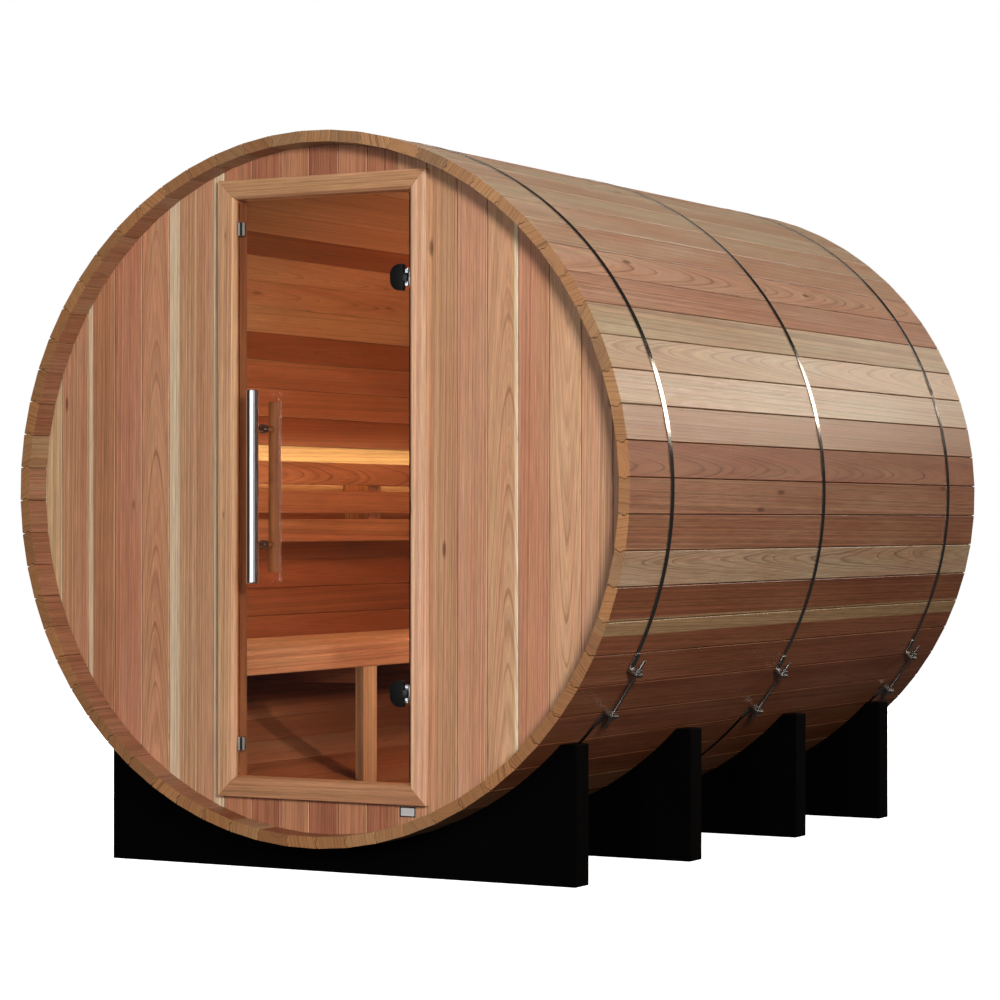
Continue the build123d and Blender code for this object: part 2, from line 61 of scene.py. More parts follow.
def put(tree, kind, feeds=None, **settings):
    """Adds one node, sets its properties, and fills its inputs with values, with outputs, or with the
    first output that another node has in use."""
    made = tree.nodes.new(kind if kind.startswith(("Geometry", "NodeGroup")) else "ShaderNode" + kind)
    for name, value in settings.items():
        setattr(made, name, value)
    for socket, source in (feeds or {}).items():
        if isinstance(source, bpy.types.Node):
            source = next(output for output in source.outputs if output.enabled)
        if isinstance(source, bpy.types.NodeSocket):
            tree.links.new(source, made.inputs[socket])
        else:
            made.inputs[socket].default_value = source
    return made


def blank_finish(name):
    """A new material with nothing in it yet, and the way to add nodes to it."""
    finish = bpy.data.materials.new(name)
    finish.use_nodes = True
    finish.node_tree.nodes.clear()
    return finish, functools.partial(put, finish.node_tree)


def stand(name, data):
    """Adds an object to the scene at the origin."""
    holder = bpy.data.objects.new(name, data)
    bpy.context.scene.collection.objects.link(holder)
    return holder


def closed(shape, name):
    """Makes a mesh of a finished shape, its faces outward."""
    bmesh.ops.recalc_face_normals(shape, faces=shape.faces)
    mesh = bpy.data.meshes.new(name)
    shape.to_mesh(mesh)
    shape.free()
    return mesh


def smooth(mesh, round_deg):
    """Shades a mesh as round wherever it turns by less than an angle."""
    mesh.shade_smooth()
    mesh.set_sharp_from_angle(angle=math.radians(round_deg))


merge_reach = 1e-5
flat_deg, sharp_deg = 0.3, 28


def eased_copy(node, name, ease, round_deg=0):
    """A copy of a solid's mesh with its triangles joined into faces and its sharp edges eased."""
    shape = bmesh.new()
    shape.from_mesh(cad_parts[node].data)
    bmesh.ops.remove_doubles(shape, verts=shape.verts, dist=merge_reach)
    bmesh.ops.dissolve_limit(
        shape, angle_limit=math.radians(flat_deg), verts=shape.verts, edges=shape.edges)
    corners = [e for e in shape.edges if e.is_manifold and e.calc_face_angle() > math.radians(sharp_deg)]
    bmesh.ops.bevel(
        shape, geom=corners, offset=ease, segments=2, profile=0.5, affect="EDGES", clamp_overlap=True)
    bmesh.ops.remove_doubles(shape, verts=shape.verts, dist=merge_reach)
    bmesh.ops.dissolve_degenerate(shape, edges=shape.edges, dist=merge_reach)
    piece = stand(name, closed(shape, name))
    if round_deg:
        smooth(piece.data, round_deg)
    return piece


def settle(piece, body, slot, *nodes, finish=None):
    """The piece takes a finish, moves with a body, and stands for the solids it was made from."""
    if finish:
        piece.data.materials.append(finish)
    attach(piece, body)
    if nodes:
        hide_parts(*nodes)


def streaks(add, at, to_the_metre, **more):
    """Noise with so many marks to the metre along each axis."""
    place = add("VectorMath", {0: at, 1: to_the_metre}, operation="MULTIPLY")
    return add("TexNoise", {"Vector": place, "Scale": 1.0} | more)


# Black exterior paint brushed on planed wood: nearly black, satin, with the brush marks and a little
# of the grain under it showing in its gloss.
black_paint, add = blank_finish("black paint on planed wood")
paint_spot = add("TexCoord").outputs["Object"]
# Brush marks about 6 mm apart and 150 mm long, along the plank, and a tone that drifts over 200 mm
brush_marks = streaks(add, paint_spot, (7.0, 160.0, 160.0), Detail=3.0)
paint_cloud = add("TexNoise", {"Vector": paint_spot, "Scale": 5.0, "Detail": 2.0})
paint_colour = add("Mix", {0: paint_cloud, 6: linear("#010101"), 7: linear("#040303")}, data_type="RGBA")
paint_gloss = add("MapRange", {
    "Value": brush_marks, "From Min": 0.3, "From Max": 0.7, "To Min": 0.62, "To Max": 0.8})
paint_relief = add("Bump", {"Height": brush_marks, "Strength": 0.25, "Distance": 0.0008})
paint_coat = add("BsdfPrincipled", {
    "Base Color": paint_colour, "Roughness": paint_gloss, "Normal": paint_relief, "Specular IOR Level": 0.04})
add("OutputMaterial", {"Surface": paint_coat})

for cradle_node in ("cradle_front", "cradle_second", "cradle_third", "cradle_rear"):
    saddle = eased_copy(cradle_node, cradle_node + "_saddle", 0.0025)
    settle(saddle, "cabin", "black_cradle", cradle_node, finish=black_paint)


# Staves
# Sixty-four planks of clear red cedar, planed flat, with a bead run on one edge and a cove on the
# other. Each bead turns in its neighbour's cove, and the bands draw the ring tight.
barrel_length = 2.392
barrel_radius = 0.915
axis_height = 0.9885
stave_count = 64
stave_pitch = 2 * math.pi / stave_count
ring_turn = math.radians(1.2)
stave_thickness = 0.030
stave_flat = barrel_radius * math.cos(stave_pitch / 2)
joint_gap, lip_gap = 0.0012, 0.0030
stave_bevel = 0.0010
bead_depth = 0.005
bead_start, bead_end, bead_steps = 0.2 * stave_thickness, 0.8 * stave_thickness, 8
stave_end_ease = 0.0012
wall_recess, wall_thickness, croze_depth, croze_gap = 0.074, 0.036, 0.008, 0.0003
cut_reach = 1e-6


def joint_face(depth, side):
    """Point on a stave's joint face at a depth below its outer flat; side is 1 or -1. The joint is open
    at the outer lip and tight from the bead inward."""
    reach = stave_flat - depth
    gap = joint_gap + (lip_gap - joint_gap) * max(0.0, 1 - depth / bead_start)
    return side * (reach * math.tan(stave_pitch / 2) - gap / 2), reach


def joint_curve(side):
    """The bead or the cove of one edge, from the outer side inward."""
    points = []
    for step in range(bead_steps + 1):
        share = step / bead_steps
        x, reach = joint_face(bead_start + share * (bead_end - bead_start), side)
        points.append((x + 4 * share * (1 - share) * bead_depth, reach))
    return points


def stave_section():
    """Points round one stave's section: across, and out from the barrel axis."""
    outer, inner = stave_flat, stave_flat - stave_thickness
    right = joint_face(0, 1)[0] - stave_bevel
    right_in = joint_face(stave_thickness, 1)[0] - stave_bevel
    top = [joint_face(stave_bevel, -1), (-right, outer), (right, outer), joint_face(stave_bevel, 1)]
    low = stave_thickness - stave_bevel
    foot = [joint_face(low, 1), (right_in, inner), (-right_in, inner), joint_face(low, -1)]
    return top + joint_curve(1) + foot + joint_curve(-1)[::-1]


def note(mesh, name, kind, domain, values):
    """Writes one value for each vertex or face into a named attribute."""
    field = mesh.attributes.new(name, kind, domain)
    channel = "vector" if kind == "FLOAT_VECTOR" else "value"
    field.data.foreach_set(channel, np.asarray(values, np.float32).ravel())


def skin(shape, rings):
    """Joins each ring of points to the next with faces."""
    for first, second in zip(rings, rings[1:]):
        for n in range(len(first)):
            shape.faces.new((first[n - 1], first[n], second[n], second[n - 1]))


def stave_mesh():
    """One stave at the top of the barrel, its middle over the origin, with the grooves of both walls."""
    outline = stave_section()
    middle = Vector((0, stave_flat - stave_thickness / 2))
    groove_floor = stave_flat - stave_thickness + croze_depth
    end = barrel_length / 2
    out = end - wall_recess + croze_gap
    inside = end - wall_recess - wall_thickness - croze_gap
    stations = [(-end, "eased"), (-end + stave_end_ease, "full")]
    for start, stop in ((-out, -inside), (inside, out)):
        stations += [(start, "full"), (start, "groove"), (stop, "groove"), (stop, "full")]
    stations += [(end - stave_end_ease, "full"), (end, "eased")]
    shape = bmesh.new()
    rings = []
    for y, kind in stations:
        ring = []
        for x, reach in outline:
            if kind == "eased":
                inward = (middle - Vector((x, reach))).normalized() * stave_end_ease
                x, reach = x + inward.x, reach + inward.y
            if kind == "groove":
                reach = max(reach, groove_floor)
            ring.append(shape.verts.new((x, y, reach)))
        rings.append(ring)
    skin(shape, rings)
    shape.faces.new(rings[0])
    shape.faces.new(rings[-1][::-1])
    bmesh.ops.remove_doubles(shape, verts=shape.verts, dist=cut_reach)
    bmesh.ops.dissolve_degenerate(shape, edges=shape.edges, dist=cut_reach)
    mesh = closed(shape, "stave")
    outer_face = Vector((0, 0, stave_flat))
    note(mesh, "grain", "FLOAT_VECTOR", "POINT", [v.co - outer_face for v in mesh.vertices])
    ends = [abs(p.center.y) > end - stave_end_ease * 1.01 for p in mesh.polygons]
    note(mesh, "end_grain", "FLOAT", "FACE", ends)
    # The outer bevels of a stave take a little of the paler arris colour, partly a painted highlight
    note(mesh, "arris", "FLOAT", "FACE", [
        0.3 * (abs(p.normal.x) > 0.3 and p.center.z > stave_flat - stave_bevel) for p in mesh.polygons])
    return mesh


def set_input(modifier, name, value):
    """Sets a tree's named input on one modifier, by the socket's identifier."""
    sockets = modifier.node_group.interface.items_tree
    modifier[next(s.identifier for s in sockets if s.name == name and s.in_out == "INPUT")] = value


def new_tree(name, inputs):
    """A geometry tree with a mesh in, a mesh out and the named inputs, and the way to add nodes to it."""
    tree = bpy.data.node_groups.new(name, "GeometryNodeTree")
    tree.interface.new_socket("Mesh", in_out="INPUT", socket_type="NodeSocketGeometry")
    tree.interface.new_socket("Mesh", in_out="OUTPUT", socket_type="NodeSocketGeometry")
    for label, kind in inputs:
        tree.interface.new_socket(label, in_out="INPUT", socket_type="NodeSocket" + kind)
    add = functools.partial(put, tree)
    return tree, add, add("NodeGroupInput").outputs


def grown(mesh, name, tree, values):
    """Runs a tree on a mesh and keeps the result as a plain piece."""
    piece = stand(name, mesh)
    modifier = piece.modifiers.new(tree.name, "NODES")
    modifier.node_group = tree
    for label, value in values.items():
        set_input(modifier, label, value)
    graph = bpy.context.evaluated_depsgraph_get()
    result = bpy.data.meshes.new_from_object(
        piece.evaluated_get(graph), preserve_all_data_layers=True, depsgraph=graph)
    piece.modifiers.clear()
    piece.data = result
    result.name = name
    return piece


def numbered_copies(add, inputs, points, number, turn=(0.0, 0.0, 0.0)):
    """Copies a tree's mesh to points, numbers the copies as boards and makes them real."""
    copies = add("GeometryNodeInstanceOnPoints", {
        "Points": points, "Instance": inputs["Mesh"], "Rotation": turn})
    named = add("GeometryNodeStoreNamedAttribute", {
        "Geometry": copies, "Name": "board", "Value": number}, data_type="FLOAT", domain="INSTANCE")
    return add("GeometryNodeRealizeInstances", {"Geometry": named})


def send_out(add, inputs, shape):
    """Gives a tree's result its finish and ends the tree."""
    done = add("GeometryNodeSetMaterial", {"Geometry": shape, "Material": inputs["Finish"]})
    add("NodeGroupOutput", {"Mesh": done})


# The ring: one stave is copied to each place round the barrel's axis and numbered
ring_tree, add, ring_in = new_tree("stave ring", [
    ("First", "Int"), ("Count", "Int"), ("Pitch", "Float"), ("Turn", "Float"), ("Axis Height", "Float"),
    ("Finish", "Material")])
ring_number = add("Math", {0: add("GeometryNodeInputIndex"), 1: ring_in["First"]}, operation="ADD")
ring_angle = add("Math", {0: ring_number, 1: ring_in["Pitch"], 2: ring_in["Turn"]}, operation="MULTIPLY_ADD")
ring_axis = add("CombineXYZ", {"Z": ring_in["Axis Height"]})
ring_points = add("GeometryNodePoints", {"Count": ring_in["Count"], "Position": ring_axis})
ring_twist = add("CombineXYZ", {"Y": ring_angle})
send_out(add, ring_in, numbered_copies(add, ring_in, ring_points, ring_number, ring_twist))


def cedar(name, shades, late_shade, sap_shade, gloss, relief):
    """Planed western red cedar cut from a log: growth rings round a pith that lies somewhere else for
    every board, so that faces show straight or arched grain and ends show arcs, with fine fibres,
    a tone for each board, and a pale strip of sapwood on some."""
    finish, add = blank_finish(name)
    grain = add("Attribute", attribute_name="grain").outputs["Vector"]
    board, tone, sap, end_grain, flat_sawn, blush, arris = (
        add("Attribute", attribute_name=told).outputs["Fac"]
        for told in ("board", "tone", "sap", "end_grain", "flat_sawn", "blush", "arris"))
    chance = add("TexWhiteNoise", {"W": board}, noise_dimensions="1D")
    chances = add("SeparateColor", {0: chance.outputs["Color"]}).outputs
    # Every board comes from another stretch of the log
    stretch = add("Math", {0: board, 1: 3.7}, operation="MULTIPLY")
    stretch_at = add("CombineXYZ", {"Y": stretch})
    log = add("VectorMath", {0: grain, 1: stretch_at}, operation="ADD")
    # The trunk's own bends: about 700 mm along, 150 mm across, and up to 5 mm deep, a third of that in
    # straight-grained boards and more in a figured one
    bend = streaks(add, log, (6.5, 1.4, 6.5), Detail=3.0)
    bend_full = add("VectorMath", {
        0: bend.outputs["Color"], 1: (0.014, 0.0, 0.014), 2: (-0.007, 0.0, -0.007)}, operation="MULTIPLY_ADD")
    bend_part = add("MapRange", {"Value": flat_sawn, "To Min": 0.3, "To Max": 1.0}, clamp=False)
    bend_shift = add("VectorMath", {0: bend_full, "Scale": bend_part}, operation="SCALE")
    # A straight-grained board has the pith 120 to 300 mm off to one side, and a flat-sawn one has it
    # some 40 mm below the face, near its middle
    side = add("Math", {0: chances[1], 1: 0.5}, operation="SUBTRACT")
    side_sign = add("Math", {0: side}, operation="SIGN")
    pith_off = add("MapRange", {"Value": chances[0], "To Min": 0.12, "To Max": 0.3})
    pith_side = add("Math", {0: pith_off, 1: side_sign}, operation="MULTIPLY")
    pith_near = add("MapRange", {"Value": chances[0], "To Min": -0.018, "To Max": 0.018})
    pith_x = add("Mix", {0: flat_sawn, 2: pith_side, 3: pith_near})
    pith_deep = add("MapRange", {"Value": chances[1], "To Min": -0.028, "To Max": -0.055})
    pith_level = add("MapRange", {"Value": chances[2], "To Min": -0.12, "To Max": 0.12})
    pith_z = add("Mix", {0: flat_sawn, 2: pith_level, 3: pith_deep})
    pith = add("CombineXYZ", {"X": pith_x, "Z": pith_z})
    from_pith = add("VectorMath", {0: grain, 1: pith}, operation="SUBTRACT")
    bent = add("VectorMath", {0: from_pith, 1: bend_shift}, operation="ADD")
    flat = add("VectorMath", {0: bent, 1: (1.0, 0.0, 1.0)}, operation="MULTIPLY")
    radius = add("VectorMath", {0: flat}, operation="LENGTH").outputs["Value"]
    # Rings 4 to 8 mm apart, two or three times as wide as real ones so that they show, with a taper along
    # the log
    ring_close = add("MapRange", {"Value": chances[2], "To Min": 120.0, "To Max": 200.0})
    ring_wide = add("MapRange", {"Value": chances[2], "To Min": 170.0, "To Max": 240.0})
    ring_scale = add("Mix", {0: flat_sawn, 2: ring_close, 3: ring_wide})
    ring_plain = add("Math", {0: radius, 1: ring_scale}, operation="MULTIPLY")
    along = add("SeparateXYZ", {0: grain}).outputs
    taper_kind = add("MapRange", {"Value": flat_sawn, "To Min": 1.5, "To Max": 9.0})
    taper = add("Math", {0: taper_kind, 1: side_sign}, operation="MULTIPLY")
    ring_tapered = add("Math", {0: along["Y"], 1: taper, 2: ring_plain}, operation="MULTIPLY_ADD")
    # Some years are wide and some are narrow
    years = add("TexNoise", {"W": ring_tapered, "Scale": 0.45, "Detail": 1.0}, noise_dimensions="1D")
    ring_count = add("Math", {0: years, 1: 2.4, 2: ring_tapered}, operation="MULTIPLY_ADD")
    in_year = add("Math", {0: ring_count}, operation="FRACT")
    year = add("Math", {0: ring_count}, operation="FLOOR")
    late_wood = add("FloatCurve", {"Value": in_year})
    for place, height in ((0.45, 0.10), (0.72, 0.42), (0.88, 1.0), (0.97, 0.55)):
        late_wood.mapping.curves[0].points.new(place, height)
    late_wood.mapping.curves[0].points[0].location = (0.0, 0.12)
    late_wood.mapping.curves[0].points[-1].location = (1.0, 0.12)
    late_wood.mapping.update()
    year_chance = add("TexWhiteNoise", {"W": year}, noise_dimensions="1D")
    year_weight = add("MapRange", {"Value": year_chance, "To Min": 0.25, "To Max": 1.0})
    rings = add("Math", {0: late_wood, 1: year_weight}, operation="MULTIPLY")
    # Darker and lighter years in groups, 5 to 15 mm wide
    lines = add("TexNoise", {
        "W": ring_tapered, "Scale": 0.6, "Detail": 4.0, "Roughness": 0.9}, noise_dimensions="1D")
    line_low = add("MapRange", {"Value": flat_sawn, "To Min": 0.7, "To Max": 0.86})
    line_value = add("MapRange", {
        "Value": lines, "From Min": 0.34, "From Max": 0.62, "To Min": line_low, "To Max": 1.08})
    # Fibres: streaks about 4 mm wide and 110 mm long, drawn four times as wide as real ones so that they show
    fibres = streaks(add, log, (260.0, 9.0, 260.0), Detail=3.0, Roughness=0.7)
    # Slow changes of tone: about 60 mm across and 600 mm along
    drift = streaks(add, log, (17.0, 1.7, 17.0), Detail=2.0)
    drift_by = add("MapRange", {
        "Value": drift, "From Min": 0.25, "From Max": 0.75, "To Min": -0.11, "To Max": 0.11})
    shade_at = add("Math", {0: tone, 1: drift_by}, operation="ADD")
    shade = add("ValToRGB", {0: shade_at})
    stops = shade.color_ramp.elements
    for n, code in enumerate(shades):
        stop = stops[n] if n < 2 else stops.new(1.0)
        stop.position = n / (len(shades) - 1)
        stop.color = linear(code)
    # Long streaks of straw and of pink, about 16 mm wide and a metre long
    streak = streaks(add, log, (62.0, 0.9, 62.0), Detail=2.0)
    streak_by = add("MapRange", {
        "Value": streak, "From Min": 0.3, "From Max": 0.7, "To Min": -0.35, "To Max": 0.35}, clamp=False)
    hue_at = add("Math", {0: blush, 1: streak_by}, operation="ADD", use_clamp=True)
    hue = add("Mix", {0: hue_at, 6: linear("#F6F4DF"), 7: linear("#FFE8E2")}, data_type="RGBA")
    hued = add("Mix", {0: 1.0, 6: shade, 7: hue}, data_type="RGBA", blend_type="MULTIPLY")
    # Sapwood on one side of the board: a share of its width, plus for right and minus for left
    sap_size = add("Math", {0: sap}, operation="ABSOLUTE")
    sap_side = add("Math", {0: sap}, operation="SIGN")
    sap_across = add("VectorMath", {0: grain, 1: bend_shift}, operation="ADD")
    sap_x = add("SeparateXYZ", {0: sap_across}).outputs["X"]
    sap_u = add("Math", {0: sap_x, 1: sap_side}, operation="MULTIPLY")
    sap_edge = add("MapRange", {"Value": sap_size, "To Min": 0.058, "To Max": -0.045})
    sap_over = add("Math", {0: sap_u, 1: sap_edge}, operation="SUBTRACT")
    sap_mask = add("MapRange", {
        "Value": sap_over, "From Min": -0.0015, "From Max": 0.003, "To Max": 0.85},
        interpolation_type="SMOOTHSTEP")
    pale = add("Mix", {0: sap_mask, 6: hued, 7: linear(sap_shade)}, data_type="RGBA")
    ring_depth = add("MapRange", {"Value": flat_sawn, "To Min": 0.72, "To Max": 0.6})
    ring_share = add("Math", {0: rings, 1: ring_depth}, operation="MULTIPLY")
    ringed = add(
        "Mix", {0: ring_share, 6: pale, 7: linear(late_shade)}, data_type="RGBA", blend_type="MULTIPLY")
    fibre_value = add("MapRange", {
        "Value": fibres, "From Min": 0.3, "From Max": 0.7, "To Min": 0.76, "To Max": 1.16})
    grain_value = add("Math", {0: fibre_value, 1: line_value}, operation="MULTIPLY")
    fibred = add("HueSaturation", {"Color": ringed, "Value": grain_value})
    # Pin knots: dark spindles some 12 mm wide and 50 mm long, about one to a metre of every other board
    knot_at = add("VectorMath", {0: log, 1: (6.0, 1.5, 0.0)}, operation="MULTIPLY")
    knot_cell = add("TexVoronoi", {"Vector": knot_at, "Scale": 1.0}, voronoi_dimensions="2D")
    knot_size = add("MapRange", {
        "Value": chances[1], "From Min": 0.45, "From Max": 0.8, "To Min": 0.0, "To Max": 0.05})
    knot_in = add("Math", {0: knot_size, 1: knot_cell}, operation="SUBTRACT")
    knot_mask = add("MapRange", {
        "Value": knot_in, "From Min": 0.0, "From Max": 0.03, "To Max": 0.75}, interpolation_type="SMOOTHSTEP")
    knotted = add("Mix", {0: knot_mask, 6: fibred, 7: linear("#4A2A18")}, data_type="RGBA")
    # Planed arrises are drawn paler than the faces: partly wear from rubbing, partly a painted highlight
    # standing in for the light the bevels catch
    arris_share = add("Math", {0: arris, 1: 0.14}, operation="MULTIPLY")
    rubbed_and_highlit = add("Mix", {0: arris_share, 6: knotted, 7: linear(sap_shade)}, data_type="RGBA")
    # Cut ends drink more oil, so they are more amber than the faces and their rings are plainer
    end_wood = add("Mix", {0: rings, 6: linear("#A07044"), 7: linear("#422412")}, data_type="RGBA")
    end_value = add("MapRange", {"Value": chances[0], "To Min": 0.6, "To Max": 1.2})
    end_toned = add("HueSaturation", {"Color": end_wood, "Value": end_value})
    end_share = add("Math", {0: end_grain, 1: 0.75}, operation="MULTIPLY")
    ended = add("Mix", {0: end_share, 6: rubbed_and_highlit, 7: end_toned}, data_type="RGBA")
    rough = add("MapRange", {
        "Value": fibres, "From Min": 0.3, "From Max": 0.7, "To Min": gloss - 0.06, "To Max": gloss + 0.08})
    height = add("Math", {0: fibres, 1: 0.5, 2: rings}, operation="MULTIPLY_ADD")
    bump = add("Bump", {"Height": height, "Strength": relief, "Distance": 0.0006})
    wood = add("BsdfPrincipled", {
        "Base Color": ended, "Roughness": rough, "Normal": bump, "IOR": 1.45, "Specular IOR Level": 0.5})
    add("OutputMaterial", {"Surface": wood})
    return finish


def tell_boards(mesh, tones, saps, arched, seed, low, high):
    """Gives each numbered board its tone and blush, its sapwood and how arched its grain is; a tone or
    blush that isn't named comes by chance."""
    boards = np.zeros(len(mesh.vertices), np.float32)
    mesh.attributes["board"].data.foreach_get("value", boards)
    lookup = {}
    for board in sorted(set(int(round(b)) for b in boards)):
        # The thousand keeps every seed above zero
        luck = np.random.default_rng(seed + board + 1000)
        chance = luck.uniform(low, high), luck.uniform(0.2, 0.8)
        lookup[board] = tones.get(board, chance) + (saps.get(board, 0.0), arched.get(board, 0.0))
    told = np.array([lookup[int(round(b))] for b in boards], np.float32)
    for column, name in enumerate(("tone", "blush", "sap", "flat_sawn")):
        note(mesh, name, "FLOAT", "POINT", told[:, column])


sun_tone, sun_share = 0.4, 0.3


def weather(mesh):
    """Brings staves nearer to one middling tone outside the cabin, where the sun has reached them."""
    indoors = barrel_length / 2 - wall_recess - croze_gap / 2
    for spot, tone in zip(mesh.vertices, mesh.attributes["tone"].data):
        reach = math.hypot(spot.co.x, spot.co.z - axis_height)
        if abs(spot.co.y) > indoors or reach > stave_flat - stave_thickness / 2:
            tone.value = sun_tone + sun_share * tone.value


# Oiled red cedar outdoors: from red-brown heartwood to straw, satin; the palest shade is a greyer straw,
# partly a painted sheen
stave_cedar = cedar(
    "oiled red cedar staves", ("#6C371D", "#8B5A40", "#A47F64", "#B2A18A"), "#6E4026", "#A8865F", 0.42, 0.3)
# Tone from red-brown to straw, and blush from straw to pink
stave_tones = {
    -4: (0.56, 0.6), -3: (0.8, 0.5), -2: (0.64, 0.75), -1: (0.9, 0.5), 0: (0.85, 0.5), 1: (0.9, 0.6),
    2: (0.95, 0.4), 3: (0.82, 0.7), 4: (0.95, 0.5), 5: (0.86, 0.65), 6: (0.94, 0.5), 7: (0.84, 0.7),
    8: (0.8, 0.75), 9: (0.76, 0.85), 10: (0.7, 0.95), 11: (0.86, 0.3), 12: (0.8, 0.3), 13: (0.82, 0.3),
    14: (0.62, 0.4), 15: (0.38, 0.55), 16: (0.52, 0.6), 17: (0.45, 0.65), 18: (0.84, 0.5), 19: (0.26, 0.55),
    20: (0.27, 0.6), 21: (0.24, 0.6), 22: (0.2, 0.55), 23: (0.24, 0.55), 24: (0.18, 0.6), 25: (0.2, 0.6),
    36: (0.4, 0.7), 37: (0.3, 0.8), 38: (0.45, 0.7), 39: (0.3, 0.8), 40: (0.35, 0.8), 41: (0.3, 0.8),
    42: (0.25, 0.8), 43: (0.2, 0.8), 44: (0.2, 0.7), 45: (0.15, 0.8), 46: (0.15, 0.8), 47: (0.2, 0.8),
    # Stave 49, beside the light strip, takes the palest straw tone, partly a painted glow of the strip on it
    48: (0.8, 0.6), 49: (1.0, 0.0), 50: (0.04, 0.7), 51: (0.3, 0.7), 52: (0.35, 0.7), 53: (0.12, 0.5),
    54: (0.62, 0.3), 55: (0.55, 0.5), 56: (0.6, 0.5), 57: (0.12, 0.6), 58: (0.62, 0.6), 59: (0.6, 0.6)}
stave_saps = {19: 0.2, 20: -0.5, 29: 0.3, 34: -0.3, 52: 0.16}
stave_arched = dict.fromkeys((3, 9, 12, 15, 27, 33, 38, 43, 45, 53, 55, 56), 1.0) | {18: 3.0, 20: 0.4}
stave_seed, zone_staves = 11, 8
stave_zones = ("top", "upper_right", "right", "lower_right", "bottom", "lower_left", "left", "upper_left")
for zone_index, zone in enumerate(stave_zones):
    ring_part = grown(stave_mesh(), "cedar_staves_" + zone, ring_tree, {
        "First": zone_staves * zone_index - zone_staves // 2, "Count": zone_staves, "Pitch": stave_pitch,
        "Turn": ring_turn, "Axis Height": axis_height, "Finish": stave_cedar})
    tell_boards(ring_part.data, stave_tones, stave_saps, stave_arched, stave_seed, 0.2, 0.8)
    if "left" in zone:
        weather(ring_part.data)
    settle(ring_part, "cabin", "stave_wood", "staves_" + zone)


# Bands
# Three straps of polished stainless steel round the barrel. Each runs from one lug of its tensioner
# right round to the other.
band_width, band_thickness, band_radius = 0.020, 0.0012, 0.9153
band_places = {"band_front": (-0.961, -33.2), "band_middle": (-0.001, -36.3), "band_rear": (0.962, -35.5)}
lug_spacing = 0.125


def band_mesh(y, tension_deg):
    """An open steel ring with rounded edges, the gap at the tensioner."""
    gap = math.asin(lug_spacing / 2 / band_radius)
    start = math.radians(tension_deg) + gap
    stop = math.radians(tension_deg) + 2 * math.pi - gap
    half, edge, steps = band_width / 2, band_thickness * 0.3, 300
    outer = band_radius + band_thickness
    outline = [(-half, band_radius), (-half, outer - edge), (-half + edge, outer), (half - edge, outer),
               (half, outer - edge), (half, band_radius)]
    shape = bmesh.new()
    rings = []
    for n in range(steps + 1):
        angle = start + (stop - start) * n / steps
        rings.append([shape.verts.new((r * math.cos(angle), y + across, axis_height + r * math.sin(angle)))
                      for across, r in outline])
    skin(shape, rings)
    shape.faces.new(rings[0])
    shape.faces.new(rings[-1][::-1])
    mesh = closed(shape, "band")
    smooth(mesh, 25)
    return mesh


# Rolled stainless strip: a mirror with fine rolling lines round the band and faint finger haze
band_steel, add = blank_finish("rolled stainless strip")
band_spot = add("TexCoord").outputs["Object"]
# Rolling lines about 1.5 mm apart, wider than real ones so that they show, and haze of about 40 mm
roll_lines = streaks(add, band_spot, (1.5, 650.0, 1.5), Detail=2.0)
band_haze = add("TexNoise", {"Vector": band_spot, "Scale": 24.0, "Detail": 3.0})
band_rough = add("MapRange", {
    "Value": band_haze, "From Min": 0.3, "From Max": 0.75, "To Min": 0.10, "To Max": 0.22})
band_colour = add("Mix", {0: roll_lines, 6: linear("#8F8A85"), 7: linear("#B4B0AB")}, data_type="RGBA")
band_relief = add("Bump", {"Height": roll_lines, "Strength": 0.06, "Distance": 0.0003})
band_metal = add("BsdfPrincipled", {
    "Base Color": band_colour, "Metallic": 1.0, "Roughness": band_rough, "Normal": band_relief})
add("OutputMaterial", {"Surface": band_metal})

for band_node, (band_y, tension_deg) in band_places.items():
    strap = stand(band_node + "_strap", band_mesh(band_y, tension_deg))
    settle(strap, "cabin", "band_steel", band_node, finish=band_steel)


# Tensioners
# At each band a threaded rod passes through two bent lugs, and nuts on its ends draw the lugs
# together. Lugs, rods, nuts and washers are zinc plated steel.

# Zinc plate: a grey metal, half dull, with spangle of about 5 mm and scuffs of about 11 mm from the spanner
zinc, add = blank_finish("zinc plated steel")
zinc_spot = add("TexCoord").outputs["Object"]
spangle = add("TexVoronoi", {"Vector": zinc_spot, "Scale": 220.0}, feature="F1")
zinc_scuff = add("TexNoise", {"Vector": zinc_spot, "Scale": 90.0, "Detail": 4.0})
zinc_colour = add("Mix", {
    0: spangle.outputs["Color"], 6: linear("#7E7C78"), 7: linear("#B4B1AB")}, data_type="RGBA")
zinc_rough = add("MapRange", {
    "Value": zinc_scuff, "From Min": 0.3, "From Max": 0.7, "To Min": 0.3, "To Max": 0.46})
zinc_relief = add("Bump", {"Height": zinc_scuff, "Strength": 0.15, "Distance": 0.0004})
zinc_metal = add("BsdfPrincipled", {
    "Base Color": zinc_colour, "Metallic": 1.0, "Roughness": zinc_rough, "Normal": zinc_relief})
add("OutputMaterial", {"Surface": zinc_metal})

for tension_node, tension_name, ease in (
        ("tension_lugs", "band_lugs", 0.0008), ("tension_rods", "band_rods", 0.0004)):
    settle(eased_copy(tension_node, tension_name, ease, 30), "cabin", "zinc_steel", tension_node, finish=zinc)


# End walls
# Upright tongue and groove cedar boards, their edges bevelled to a V at each joint, cut to the circle
# and let into the grooves of the staves. The front wall stops at the doorway's rough opening.
board_pitch = 0.0875
board_vee = 0.0014
board_slit, slit_depth = 0.0009, 0.009
tongue_reach, groove_play = 0.005, 0.0003
wall_radius = stave_flat - stave_thickness + croze_depth - croze_gap
wall_reach = wall_radius - 0.002
front_wall_y = -barrel_length / 2 + wall_recess + wall_thickness / 2
rough_half, rough_top, rough_bottom = 0.293, 0.786, -0.777
front_wall_seed, back_wall_seed = 5, 77


